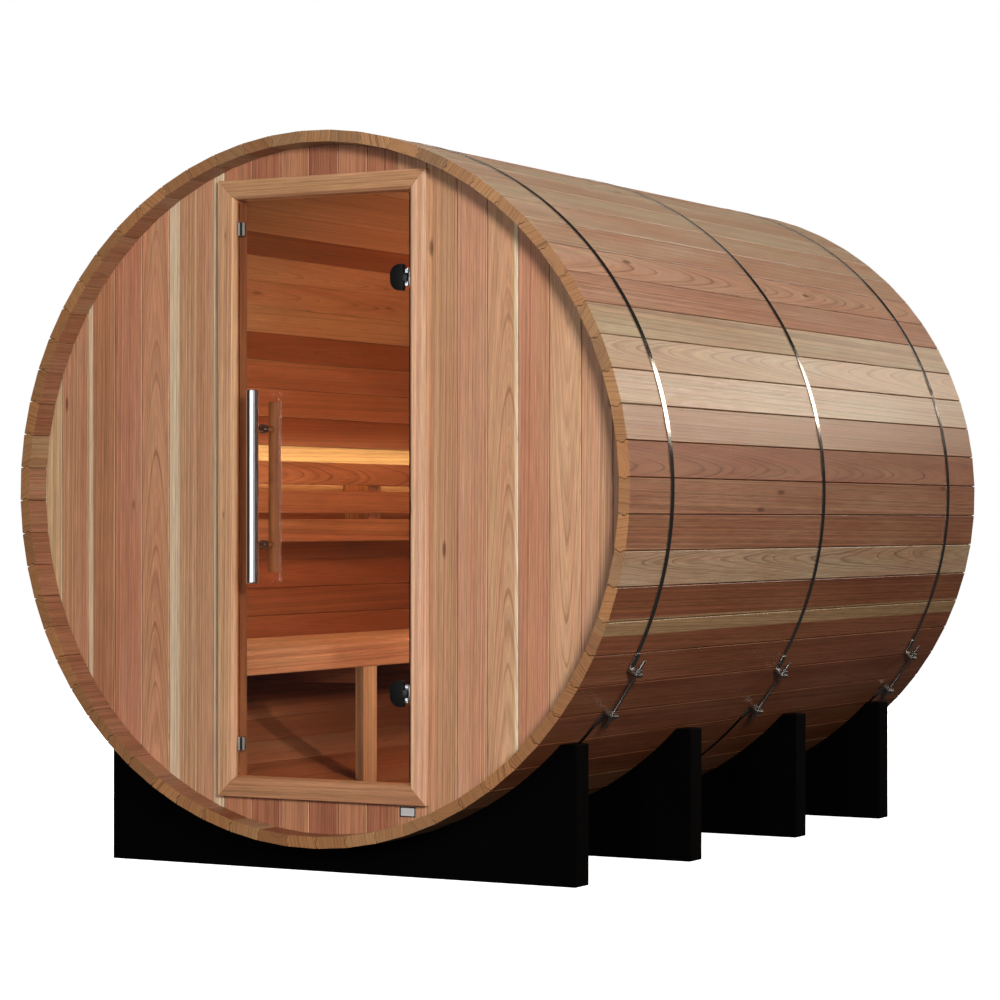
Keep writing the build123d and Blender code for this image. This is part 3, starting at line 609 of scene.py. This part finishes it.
def board_blank():
    """One wall board of unit half height with a tongue on its right edge and a groove in its left, bevelled
    at the faces and divided across so that its ends can curve."""
    half, deep = board_pitch / 2, wall_thickness / 2
    side, edge, tongue = half - board_slit, deep - board_vee, deep - board_vee - slit_depth
    columns = 8
    front = [(-side + board_vee + 2 * (side - board_vee) * n / columns, -deep) for n in range(columns + 1)]
    tip, groove, floor = half + tongue_reach, tongue + groove_play, tongue_reach + groove_play - half
    right = [(side, -edge), (side, -tongue), (tip, -tongue), (tip, tongue), (side, tongue), (side, edge)]
    back = [(x, deep) for x, _ in reversed(front)]
    left = [
        (-side, edge), (-side, groove), (floor, groove), (floor, -groove), (-side, -groove), (-side, -edge)]
    outline = front + right + back + left
    shape = bmesh.new()
    rings = [[shape.verts.new((x, y, z)) for x, y in outline] for z in (-1.0, 0.0, 1.0)]
    skin(shape, rings)
    for ring in (rings[0], rings[-1]):
        near, flank = ring[:len(front)], ring[len(front):len(front) + len(right)]
        far, other = ring[-len(left) - len(back):-len(left)][::-1], ring[-len(left):]
        for n in range(1, columns):
            shape.faces.new((near[n], near[n + 1], far[n + 1], far[n]))
        shape.faces.new([near[-1]] + flank + [far[-1]])
        shape.faces.new([far[1], far[0]] + other + [near[0], near[1]])
    return closed(shape, "wall board")


def rip(mesh, left, right):
    """Rips the outer boards of a panel to its sides and closes the cut faces."""
    shape = bmesh.new()
    shape.from_mesh(mesh)
    for place, outward in ((left, -1), (right, 1)):
        every = shape.verts[:] + shape.edges[:] + shape.faces[:]
        bmesh.ops.bisect_plane(
            shape, geom=every, dist=cut_reach, plane_co=(place, 0, 0), plane_no=(outward, 0, 0),
            clear_outer=True)
        bmesh.ops.holes_fill(shape, edges=[e for e in shape.edges if e.is_boundary], sides=0)
    bmesh.ops.recalc_face_normals(shape, faces=shape.faces)
    shape.to_mesh(mesh)
    shape.free()


# The wall: boards side by side, cut to the circle or to the doorway
wall_tree, add, wall_in = new_tree("boarded wall", [
    ("First", "Int"), ("Count", "Int"), ("Pitch", "Float"), ("Middle Y", "Float"), ("Axis Height", "Float"),
    ("Radius", "Float"), ("Left", "Float"), ("Right", "Float"), ("Bottom", "Float"), ("Top", "Float"),
    ("Finish", "Material")])
wall_number = add("Math", {0: add("GeometryNodeInputIndex"), 1: wall_in["First"]}, operation="ADD")
wall_x = add("Math", {0: wall_number, 1: wall_in["Pitch"]}, operation="MULTIPLY")
wall_place = add("CombineXYZ", {"X": wall_x, "Y": wall_in["Middle Y"]})
wall_points = add("GeometryNodePoints", {"Count": wall_in["Count"], "Position": wall_place})
wall_real = numbered_copies(add, wall_in, wall_points, wall_number)
wall_at = add("SeparateXYZ", {0: add("GeometryNodeInputPosition")}).outputs
wall_cut_x = add("Clamp", {"Value": wall_at["X"], "Min": wall_in["Left"], "Max": wall_in["Right"]})
wall_radius_2 = add("Math", {0: wall_in["Radius"], 1: wall_in["Radius"]}, operation="MULTIPLY")
wall_cut_2 = add("Math", {0: wall_cut_x, 1: wall_cut_x}, operation="MULTIPLY")
wall_rise_2 = add("Math", {0: wall_radius_2, 1: wall_cut_2}, operation="SUBTRACT")
wall_rise = add("Math", {0: wall_rise_2, 1: 0.5}, operation="POWER")
wall_fall = add("Math", {0: wall_rise, 1: -1.0}, operation="MULTIPLY")
wall_top = add("Math", {0: wall_rise, 1: wall_in["Top"]}, operation="MINIMUM")
wall_foot = add("Math", {0: wall_fall, 1: wall_in["Bottom"]}, operation="MAXIMUM")
wall_cut_z = add("MapRange", {
    "Value": wall_at["Z"], "From Min": -1.0, "From Max": 1.0, "To Min": wall_foot, "To Max": wall_top})
wall_z = add("Math", {0: wall_cut_z, 1: wall_in["Axis Height"]}, operation="ADD")
wall_to = add("CombineXYZ", {"X": wall_at["X"], "Y": wall_at["Y"], "Z": wall_z})
wall_cut = add("GeometryNodeSetPosition", {"Geometry": wall_real, "Position": wall_to})
send_out(add, wall_in, wall_cut)

# Planed red cedar boards under cover: straight pink, tan and straw stripes
wall_cedar = cedar(
    "planed red cedar boards", ("#8C5A42", "#B38164", "#C09A7E", "#CFB596"), "#A47252", "#D6C0A0", 0.52, 0.25)
wall_tones = {
    -10: (0.85, 0.1), -9: (0.5, 0.5), -8: (0.3, 0.4), -7: (0.42, 1.0), -6: (0.48, 0.55), -5: (0.6, 0.3),
    -4: (0.55, 0.5), -3: (0.28, 0.6), -2: (0.18, 0.75), -1: (0.32, 0.5), 0: (0.12, 0.8), 1: (0.28, 0.6),
    2: (0.14, 0.7), 3: (0.5, 0.5), 4: (0.52, 0.25), 5: (0.6, 0.8), 6: (0.58, 0.3), 7: (0.44, 0.8),
    8: (0.66, 0.4), 9: (0.64, 0.6), 10: (0.62, 0.55)}
wall_saps = {-10: -0.5, -8: -0.3, -5: -0.48, -4: 0.45, 6: 0.25}
wall_panels = {
    "front_wall_left": (-10, 8, front_wall_y, -wall_reach, -rough_half, -1.0, 1.0),
    "front_wall_right": (3, 8, front_wall_y, rough_half, wall_reach, -1.0, 1.0),
    "front_wall_over_door": (-3, 7, front_wall_y, -rough_half, rough_half, rough_top, 1.0),
    "front_wall_under_door": (-3, 7, front_wall_y, -rough_half, rough_half, -1.0, rough_bottom),
    "back_wall": (-10, 21, -front_wall_y, -wall_reach, wall_reach, -1.0, 1.0)}
for panel, (first, count, middle_y, left, right, bottom, top) in wall_panels.items():
    boards = grown(board_blank(), panel + "_boards", wall_tree, {
        "First": first, "Count": count, "Pitch": board_pitch, "Middle Y": middle_y,
        "Axis Height": axis_height, "Radius": wall_radius, "Left": left, "Right": right, "Bottom": bottom,
        "Top": top, "Finish": wall_cedar})
    rip(boards.data, left, right)
    board_numbers = np.zeros(len(boards.data.vertices), np.float32)
    boards.data.attributes["board"].data.foreach_get("value", board_numbers)
    note(boards.data, "grain", "FLOAT_VECTOR", "POINT", [
        (v.co.x - board * board_pitch, v.co.z, abs(v.co.y) - abs(front_wall_y) - wall_thickness / 2)
        for v, board in zip(boards.data.vertices, board_numbers)])
    # Both flanks of each V take the paler arris colour, partly a painted highlight
    note(boards.data, "arris", "FLOAT", "FACE", [
        abs(p.normal.x) > 0.4 and abs(p.normal.y) > 0.4 for p in boards.data.polygons])
    if panel == "back_wall":
        tell_boards(
            boards.data, {}, {-7: 0.25, 2: -0.3, 6: 0.2}, dict.fromkeys((-6, -1, 4, 9), 1.0),
            back_wall_seed, 0.3, 0.65)
    else:
        tell_boards(
            boards.data, wall_tones, wall_saps, dict.fromkeys((-6, 6, 8), 1.0), front_wall_seed, 0.3, 0.6)
    settle(boards, "cabin", "wall_wood", panel)


# Doorway
# A cedar lining boxes the opening, and four mitred boards with a bevelled inner edge trim it on the
# outside. The trim is pinned over the joint of lining and wall.
def mark_boards(piece, lengthwise, face, first, tone, spread=0.08):
    """Numbers the separate boards of a piece and tells where each point lies in its own board."""
    mesh = piece.data
    count = len(mesh.vertices)
    group = np.arange(count)
    edges = np.zeros(len(mesh.edges) * 2, np.int32)
    mesh.edges.foreach_get("vertices", edges)
    edges = edges.reshape(-1, 2)
    changed = True
    while changed:
        lowest = np.minimum(group[edges[:, 0]], group[edges[:, 1]])
        before = group.copy()
        np.minimum.at(group, edges[:, 0], lowest)
        np.minimum.at(group, edges[:, 1], lowest)
        changed = bool((group != before).any())
    spots = np.zeros(count * 3, np.float32)
    mesh.vertices.foreach_get("co", spots)
    spots = spots.reshape(-1, 3)
    across = x_axis + y_axis + z_axis - lengthwise - face
    grain = np.zeros((count, 3), np.float32)
    board = np.zeros(count, np.float32)
    for number, root in enumerate(np.unique(group)):
        own = group == root
        local = spots[own] - (spots[own].min(0) + spots[own].max(0)) / 2
        grain[own] = local[:, (across, lengthwise, face)]
        board[own] = first + number
    note(mesh, "grain", "FLOAT_VECTOR", "POINT", grain)
    note(mesh, "board", "FLOAT", "POINT", board)
    note(mesh, "end_grain", "FLOAT", "FACE", [abs(p.normal[lengthwise]) > 0.9 for p in mesh.polygons])
    tell_boards(mesh, {}, {}, {}, first, tone - spread, tone + spread)


# Cedar mouldings, a little pinker and smoother than the boards
frame_cedar = cedar(
    "moulded red cedar trim", ("#8A5C44", "#B98C6C", "#D2AC8E", "#DDC2A4"), "#B88A68", "#E0CAA8", 0.48, 0.2)
x_axis, y_axis, z_axis = 0, 1, 2
doorway_boards = {
    "trim_head": (x_axis, y_axis, 100, 0.34), "trim_sill": (x_axis, y_axis, 101, 0.24),
    "trim_left": (z_axis, y_axis, 102, 0.53), "trim_right": (z_axis, y_axis, 103, 0.8),
    "door_head": (x_axis, z_axis, 104, 0.45), "door_sill": (x_axis, z_axis, 105, 0.45),
    # The left jamb's very dark tone is painted shade
    "door_jamb_left": (z_axis, x_axis, 106, 0.05), "door_jamb_right": (z_axis, x_axis, 107, 0.5)}
for frame_node, (lengthwise, face, number, tone) in doorway_boards.items():
    moulding = eased_copy(frame_node, frame_node + "_moulding", 0.0012)
    mark_boards(moulding, lengthwise, face, number, tone, 0.02)
    settle(moulding, "cabin", "frame_wood", frame_node, finish=frame_cedar)


# Bench and backrest
# Slats, fascia, legs and bearers of smooth cedar, edges rounded for the skin, screwed from behind.
# The bench runs along one side, and the backrest stands off the staves on uprights.
bench_cedar = cedar(
    "rounded red cedar bench", ("#7C4A36", "#AE785A", "#C49678", "#D8B698"), "#84502F", "#DCC2A0", 0.5, 0.25)
bench_ease = 0.003


def slat_blank(length, width, thickness):
    """One slat along Y about the origin with rounded edges, and its own grain."""
    shape = bmesh.new()
    bmesh.ops.create_cube(shape, size=1.0)
    bmesh.ops.scale(shape, vec=(width, length, thickness), verts=shape.verts)
    bmesh.ops.bevel(shape, geom=shape.edges[:], offset=bench_ease, segments=3, profile=0.5, affect="EDGES")
    mesh = closed(shape, "slat")
    note(mesh, "grain", "FLOAT_VECTOR", "POINT", [v.co for v in mesh.vertices])
    note(mesh, "end_grain", "FLOAT", "FACE", [abs(p.normal.y) > 0.9 for p in mesh.polygons])
    return mesh


# The row: one slat is copied step by step, turned to its face and numbered
row_tree, add, row_in = new_tree("slat row", [
    ("First", "Int"), ("Count", "Int"), ("Start", "Vector"), ("Step", "Vector"), ("Turn", "Float"),
    ("Finish", "Material")])
row_index = add("GeometryNodeInputIndex")
row_far = add("VectorMath", {0: row_in["Step"], "Scale": row_index}, operation="SCALE")
row_place = add("VectorMath", {0: row_in["Start"], 1: row_far}, operation="ADD")
row_points = add("GeometryNodePoints", {"Count": row_in["Count"], "Position": row_place})
row_turn = add("CombineXYZ", {"Y": row_in["Turn"]})
row_number = add("Math", {0: row_index, 1: row_in["First"]}, operation="ADD")
send_out(add, row_in, numbered_copies(add, row_in, row_points, row_number, row_turn))

slat_rows = {
    # The seat slats' palest tone is partly painted light falling on the seat
    "bench_slats": (x_axis, 4, 0.014, 120, 0.0, 1.0),
    "backrest_slats": (z_axis, 3, 0.018, 142, math.radians(90), 0.32)}
for row_node, (along, slat_count, slat_gap, number, turn, tone) in slat_rows.items():
    low, high = (Vector(corner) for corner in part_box(row_node))
    middle = (low + high) / 2
    slat_pitch = (high[along] - low[along] + slat_gap) / slat_count
    thin = z_axis if along == x_axis else x_axis
    row_start, row_step = middle.copy(), Vector((0.0, 0.0, 0.0))
    row_start[along] = high[along] - (slat_pitch - slat_gap) / 2
    row_step[along] = -slat_pitch
    slat = slat_blank(high.y - low.y, slat_pitch - slat_gap, high[thin] - low[thin])
    row = grown(slat, row_node + "_rounded", row_tree, {
        "First": number, "Count": slat_count, "Start": row_start, "Step": row_step, "Turn": turn,
        "Finish": bench_cedar})
    tell_boards(row.data, {}, {}, dict.fromkeys((121, 123, 142), 1.0), number, tone - 0.08, tone + 0.08)
    settle(row, "cabin", "bench_wood", row_node)

bench_boards = {
    # The legs' pale tone is partly painted light on their lit face
    "bench_fascia": (y_axis, x_axis, 130, 0.62), "bench_legs": (z_axis, x_axis, 132, 0.92),
    # The bearers' near-black tone is painted shade
    "bench_bearers": (x_axis, y_axis, 136, 0.08), "backrest_uprights": (z_axis, y_axis, 148, 0.45)}
for bench_node, (lengthwise, face, number, tone) in bench_boards.items():
    timber = eased_copy(bench_node, bench_node + "_rounded", bench_ease)
    mark_boards(timber, lengthwise, face, number, tone, 0.06)
    settle(timber, "cabin", "bench_wood", bench_node, finish=bench_cedar)


# Light strip
# A flexible light strip in a silicone sleeve, stuck along the back of the top slat so that only its
# glow on the staves shows.

# Warm white lamps under milky silicone, one every 17 mm, each a brighter spot in the glow. The wave
# pattern draws 3.18 waves to the metre at a scale of one.
lamp_pitch, waves_to_the_metre = 0.017, 3.18
glow, add = blank_finish("lit milky silicone")
glow_spot = add("TexCoord").outputs["Object"]
lamp_wave = add("TexWave", {
    "Vector": glow_spot, "Scale": 1 / lamp_pitch / waves_to_the_metre, "Distortion": 0.0},
    wave_type="BANDS", bands_direction="Y")
lamp_power = add("MapRange", {"Value": lamp_wave.outputs["Fac"], "To Min": 15.0, "To Max": 22.0})
sleeve = add("BsdfPrincipled", {
    "Base Color": linear("#F2D9B0"), "Roughness": 0.45, "Emission Color": linear("#FFCC8C"),
    "Emission Strength": lamp_power})
add("OutputMaterial", {"Surface": sleeve})

settle(eased_copy("light_strip", "lit_strip", 0.002), "cabin", "light_diffuser", "light_strip", finish=glow)


# Hinge brackets and catch magnets
# Bright steel brackets screwed to the right jamb carry the door's pins, and two black blocks with a
# magnet in each are screwed to the left jamb.
def worked(name, stretch, detail, shades, rough, metallic=1.0, relief=None):
    """A finish whose tone, gloss and relief all follow one pattern of marks, counted to the metre along
    each axis."""
    finish, add = blank_finish(name)
    spot = add("TexCoord").outputs["Object"]
    marks = streaks(add, spot, stretch, Detail=detail)
    tone = add("Mix", {0: marks, 6: linear(shades[0]), 7: linear(shades[1])}, data_type="RGBA")
    if isinstance(rough, tuple):
        rough = add("MapRange", {"Value": marks, "To Min": rough[0], "To Max": rough[1]})
    feeds = {"Base Color": tone, "Metallic": metallic, "Roughness": rough}
    if relief:
        feeds["Normal"] = add("Bump", {"Height": marks, "Strength": relief[0], "Distance": relief[1]})
    add("OutputMaterial", {"Surface": add("BsdfPrincipled", feeds)})
    return finish


# Satin chrome: bright, with polishing lines about 1 mm apart, wider than real ones so that they show
bright = worked("satin chrome on brass", (900.0, 900.0, 40.0), 2.0, ("#C2C2C4", "#E4E4E6"), (0.16, 0.34))
brackets = eased_copy("hinge_brackets", "jamb_brackets", 0.0006, 30)
settle(brackets, "cabin", "bright_hinge", "hinge_brackets", finish=bright)

# Moulded black nylon: matt, with a fine spark texture of about 1 mm
nylon = worked(
    "moulded black nylon", (900.0, 900.0, 900.0), 2.0, ("#0B0B0C", "#1C1C1E"), 0.42, 0.0, (0.3, 0.0002))
magnets = eased_copy("catch_magnets", "magnet_blocks", 0.001)
settle(magnets, "cabin", "black_plastic", "catch_magnets", finish=nylon)


# Door
# One leaf of toughened glass, drilled and notched before it was hardened, clamped between the plates
# of two hinges. A steel bar outside and a wooden bar inside share the posts of the pull.

# Clear float glass with a very faint warm grey tint; lamps shine through it
pane, add = blank_finish("toughened float glass")
pane_spot = add("TexCoord").outputs["Object"]
# Wiping marks about 120 mm across that only show in the gloss
wipe = add("TexNoise", {"Vector": pane_spot, "Scale": 8.0, "Detail": 3.0, "Distortion": 0.6})
wipe_rough = add("MapRange", {
    "Value": wipe, "From Min": 0.45, "From Max": 0.8, "To Min": 0.0, "To Max": 0.03})
pane_glass = add("BsdfPrincipled", {
    "Base Color": linear("#F6F3EC"), "Roughness": wipe_rough, "IOR": 1.5, "Transmission Weight": 1.0})
pane_clear = add("BsdfTransparent", {"Color": linear("#F1EEE6")})
pane_lamp = add("LightPath").outputs["Is Shadow Ray"]
pane_mix = add("MixShader", {0: pane_lamp, 1: pane_glass, 2: pane_clear})
add("OutputMaterial", {"Surface": pane_mix})
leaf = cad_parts["door_glass"]
leaf.data.materials.clear()
leaf.data.materials.append(pane)

# Black powder coat with its fine orange peel of about 2 mm
powder = worked(
    "black powder coat", (500.0, 500.0, 500.0), 1.0, ("#080808", "#161617"), 0.3, 0.0, (0.2, 0.0003))
clamps = eased_copy("hinge_clamps", "glass_clamps", 0.0008, 30)
settle(clamps, "door", "black_hinge", "hinge_clamps", finish=powder)

# Mirror polished stainless tube: hairlines along its length, about 1.2 mm apart, wider than real ones
mirror = worked("mirror polished stainless", (800.0, 800.0, 12.0), 2.0, ("#D6D6D7", "#F0F0F0"), (0.03, 0.13))
# Bead blasted stainless sheet: pale and dull, with the fine pitting of the blast about 1 mm apart
blasted = worked(
    "bead blasted stainless", (1000.0, 1000.0, 1000.0), 2.0, ("#DADAD8", "#F6F5F2"), (0.5, 0.68))


def part_off(piece, axis, places):
    """Cuts new edges round a piece at some places along an axis."""
    shape = bmesh.new()
    shape.from_mesh(piece.data)
    normal = Vector((axis == x_axis, axis == y_axis, axis == z_axis))
    for place in places:
        every = shape.verts[:] + shape.edges[:] + shape.faces[:]
        bmesh.ops.bisect_plane(shape, geom=every, dist=cut_reach, plane_co=normal * place, plane_no=normal)
    shape.to_mesh(piece.data)
    shape.free()


end_round = 0.006
for steel_node, steel_name, steel_finish in (
        ("catch_clips", "glass_clips", blasted), ("pull_posts", "pull_studs", mirror),
        ("pull_outside", "steel_pull", mirror)):
    steel = eased_copy(steel_node, steel_name, 0.0005, 20)
    steel.data.materials.append(steel_finish)
    low, high = (Vector(corner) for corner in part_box(steel_node))
    if steel_node == "pull_outside":
        # A cut near each end keeps the mirror straight up to the rounding there
        part_off(steel, z_axis, (low.z + end_round, high.z - end_round))
    if steel_node == "catch_clips":
        # A black patch on the middle of each clip's face is painted shade of its slot
        slot_shade_left, slot_shade_right = (low.x + share * (high.x - low.x) for share in (0.36, 0.78))
        part_off(steel, x_axis, (slot_shade_left, slot_shade_right))
        steel.data.materials.append(nylon)
        for panel in steel.data.polygons:
            if slot_shade_left < panel.center.x < slot_shade_right and panel.normal.y < -0.5:
                panel.material_index = 1
    settle(steel, "door", "polished_steel", steel_node)

# Turned cedar, smoother than the boards; its darker palette is partly the wood's own colour and partly
# painted shade
pull_cedar = cedar(
    "turned red cedar pull", ("#6E4128", "#94603F", "#B07C55", "#C79C72"), "#AC7A50", "#DCC298", 0.42, 0.15)
wood_pull = eased_copy("pull_inside", "wood_pull", 0.0006, 20)
low, high = (Vector(corner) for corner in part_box("pull_inside"))
part_off(wood_pull, z_axis, (low.z + end_round, high.z - end_round))
# The pull's low tone is partly painted shade
mark_boards(wood_pull, z_axis, x_axis, 160, 0.3)
settle(wood_pull, "door", "pull_wood", "pull_inside", finish=pull_cedar)


# Bare plate
# A small blank plate of pressed aluminium under the right end of the sill trim, stuck to the wall. Its
# raised rim is enamelled black, and its face is left bare and brushed.
plate_width, plate_height, plate_depth, plate_corner = 0.0454, 0.0262, 0.0012, 0.002
plate_rim, plate_corner_steps = 0.0026, 4
plate_x, plate_z = 0.2513, axis_height - 0.8165
plate_y = -barrel_length / 2 + wall_recess


def plate_mesh():
    """A thin plate with rounded corners and an eased raised rim, its back on the wall."""
    shape = bmesh.new()
    layers = []
    ease = plate_depth * 0.3
    for y, inset in ((0.0, 0.0), (ease - plate_depth, 0.0), (-plate_depth, ease), (-plate_depth, plate_rim),
                     (ease - plate_depth, plate_rim + ease)):
        ring = []
        half_x, half_z = plate_width / 2 - inset, plate_height / 2 - inset
        for corner, (sx, sz) in enumerate(((1, 1), (-1, 1), (-1, -1), (1, -1))):
            for step in range(plate_corner_steps + 1):
                angle = math.pi / 2 * (corner + step / plate_corner_steps)
                ring.append(shape.verts.new((
                    plate_x + sx * (half_x - plate_corner) + plate_corner * math.cos(angle), plate_y + y,
                    plate_z + sz * (half_z - plate_corner) + plate_corner * math.sin(angle))))
        layers.append(ring)
    skin(shape, layers)
    for panel in shape.faces:
        panel.material_index = 1
    shape.faces.new(layers[0])
    shape.faces.new(layers[-1][::-1])
    return closed(shape, "plate")


# Brushed aluminium: pale, with brush lines along it about 0.7 mm apart, coarser than real ones
brushed = worked(
    "brushed aluminium", (40.0, 900.0, 1400.0), 2.0, ("#CFCBC9", "#EDEAE8"), (0.35, 0.55), 0.6)
plate = stand("bare_plate", plate_mesh())
plate.data.materials.append(brushed)
plate.data.materials.append(powder)
settle(plate, "cabin", "zinc_steel")


# Studio
# A plain pale floor, soft lamps and the camera at the photograph's angle. None of this is part of the
# object.
floor_mesh = bpy.data.meshes.new("floor")
floor_reach = 40
floor_corners = [(x * floor_reach, y * floor_reach, 0) for x, y in ((-1, -1), (1, -1), (1, 1), (-1, 1))]
floor_mesh.from_pydata(floor_corners, [], [(0, 1, 2, 3)])
floor = stand("floor", floor_mesh)
floor_paint, add = blank_finish("white studio floor")
floor_coat = add("BsdfPrincipled", {
    "Base Color": linear("#F4F4F4"), "Roughness": 0.9, "Specular IOR Level": 0.0,
    "Emission Color": linear("#FFFFFF"), "Emission Strength": 0.97})
add("OutputMaterial", {"Surface": floor_coat})
floor_mesh.materials.append(floor_paint)
floor.visible_diffuse = False
floor.visible_glossy = False
floor.visible_transmission = False


def lamp(name, spot, target, size, power, colour="#FFFFFF", seen=True):
    """A soft square lamp that shines from a spot toward a target."""
    light = bpy.data.lights.new(name, "AREA")
    light.shape = "RECTANGLE"
    light.size, light.size_y = size
    light.energy = power
    light.color = linear(colour)[:3]
    holder = stand(name, light)
    holder.location = spot
    holder.rotation_euler = (Vector(target) - Vector(spot)).to_track_quat("-Z", "Y").to_euler()
    holder.visible_camera = False
    holder.visible_transmission = False
    holder.visible_glossy = seen


lamp("key softbox", (5.4, -6.4, 2.6), (0.2, -1.0, 1.0), (1.5, 1.3), 632, seen=False)
lamp("front softbox", (2.2, -7.6, 1.2), (-0.2, -0.6, 0.8), (0.9, 2.8), 110)
lamp("side softbox", (4.6, 0.5, 5.0), (0.6, 0.2, 1.2), (3.0, 2.0), 60)
lamp("kicker", (2.9, 4.4, 2.6), (0.9, 0.0, 1.25), (1.4, 1.0), 60, "#FFF2E2")
lamp("front strip", (-1.2, -7.2, 1.3), (0.0, -1.1, 1.1), (0.45, 3.4), 40)
lamp("right strip", (5.2, -4.2, 1.5), (0.2, -1.1, 1.1), (0.6, 3.4), 20)
lamp("over lamp", (0.5, 0.0, 5.5), (0.3, 0.0, 1.0), (3.0, 4.0), 130)
lamp("left softbox", (-5.4, -0.4, 2.6), (-0.6, 0.1, 1.0), (2.8, 2.4), 300, seen=False)
lamp("back softbox", (-0.6, 7.0, 2.6), (0.0, 1.2, 1.0), (2.8, 2.4), 260, seen=False)
lamp("cabin lamp", (0.3, 0.1, 1.6), (-0.6, 0.2, 0.6), (0.9, 0.5), 15, "#FFBE8A", seen=False)
lamp("bench lamp", (0.66, 0.05, 0.85), (-0.4, -0.1, 0.4), (0.1, 0.1), 8, "#FFF0E0", seen=False)

studio = bpy.data.worlds.new("studio")
studio.use_nodes = True
studio.node_tree.nodes.clear()
add = functools.partial(put, studio.node_tree)
white_back = add("Background", {"Color": linear("#FFFFFF"), "Strength": 1.0})
dim_room = add("Background", {"Color": linear("#C9C6C2"), "Strength": 0.07})
studio_ray = add("LightPath").outputs["Is Camera Ray"]
studio_mix = add("MixShader", {0: studio_ray, 1: dim_room, 2: white_back})
add("OutputWorld", {"Surface": studio_mix})
bpy.context.scene.world = studio
bpy.context.scene.view_settings.view_transform = "Standard"

view = bpy.data.cameras.new("view")
view.lens, view.sensor_width, view.shift_y = 110.17, 36.0, 0.0205
camera = stand("view", view)
camera.location = (4.1864, -7.7880, 0.9091)
camera.rotation_euler = (math.radians(90), 0.0, math.radians(28.8275))
bpy.context.scene.camera = camera
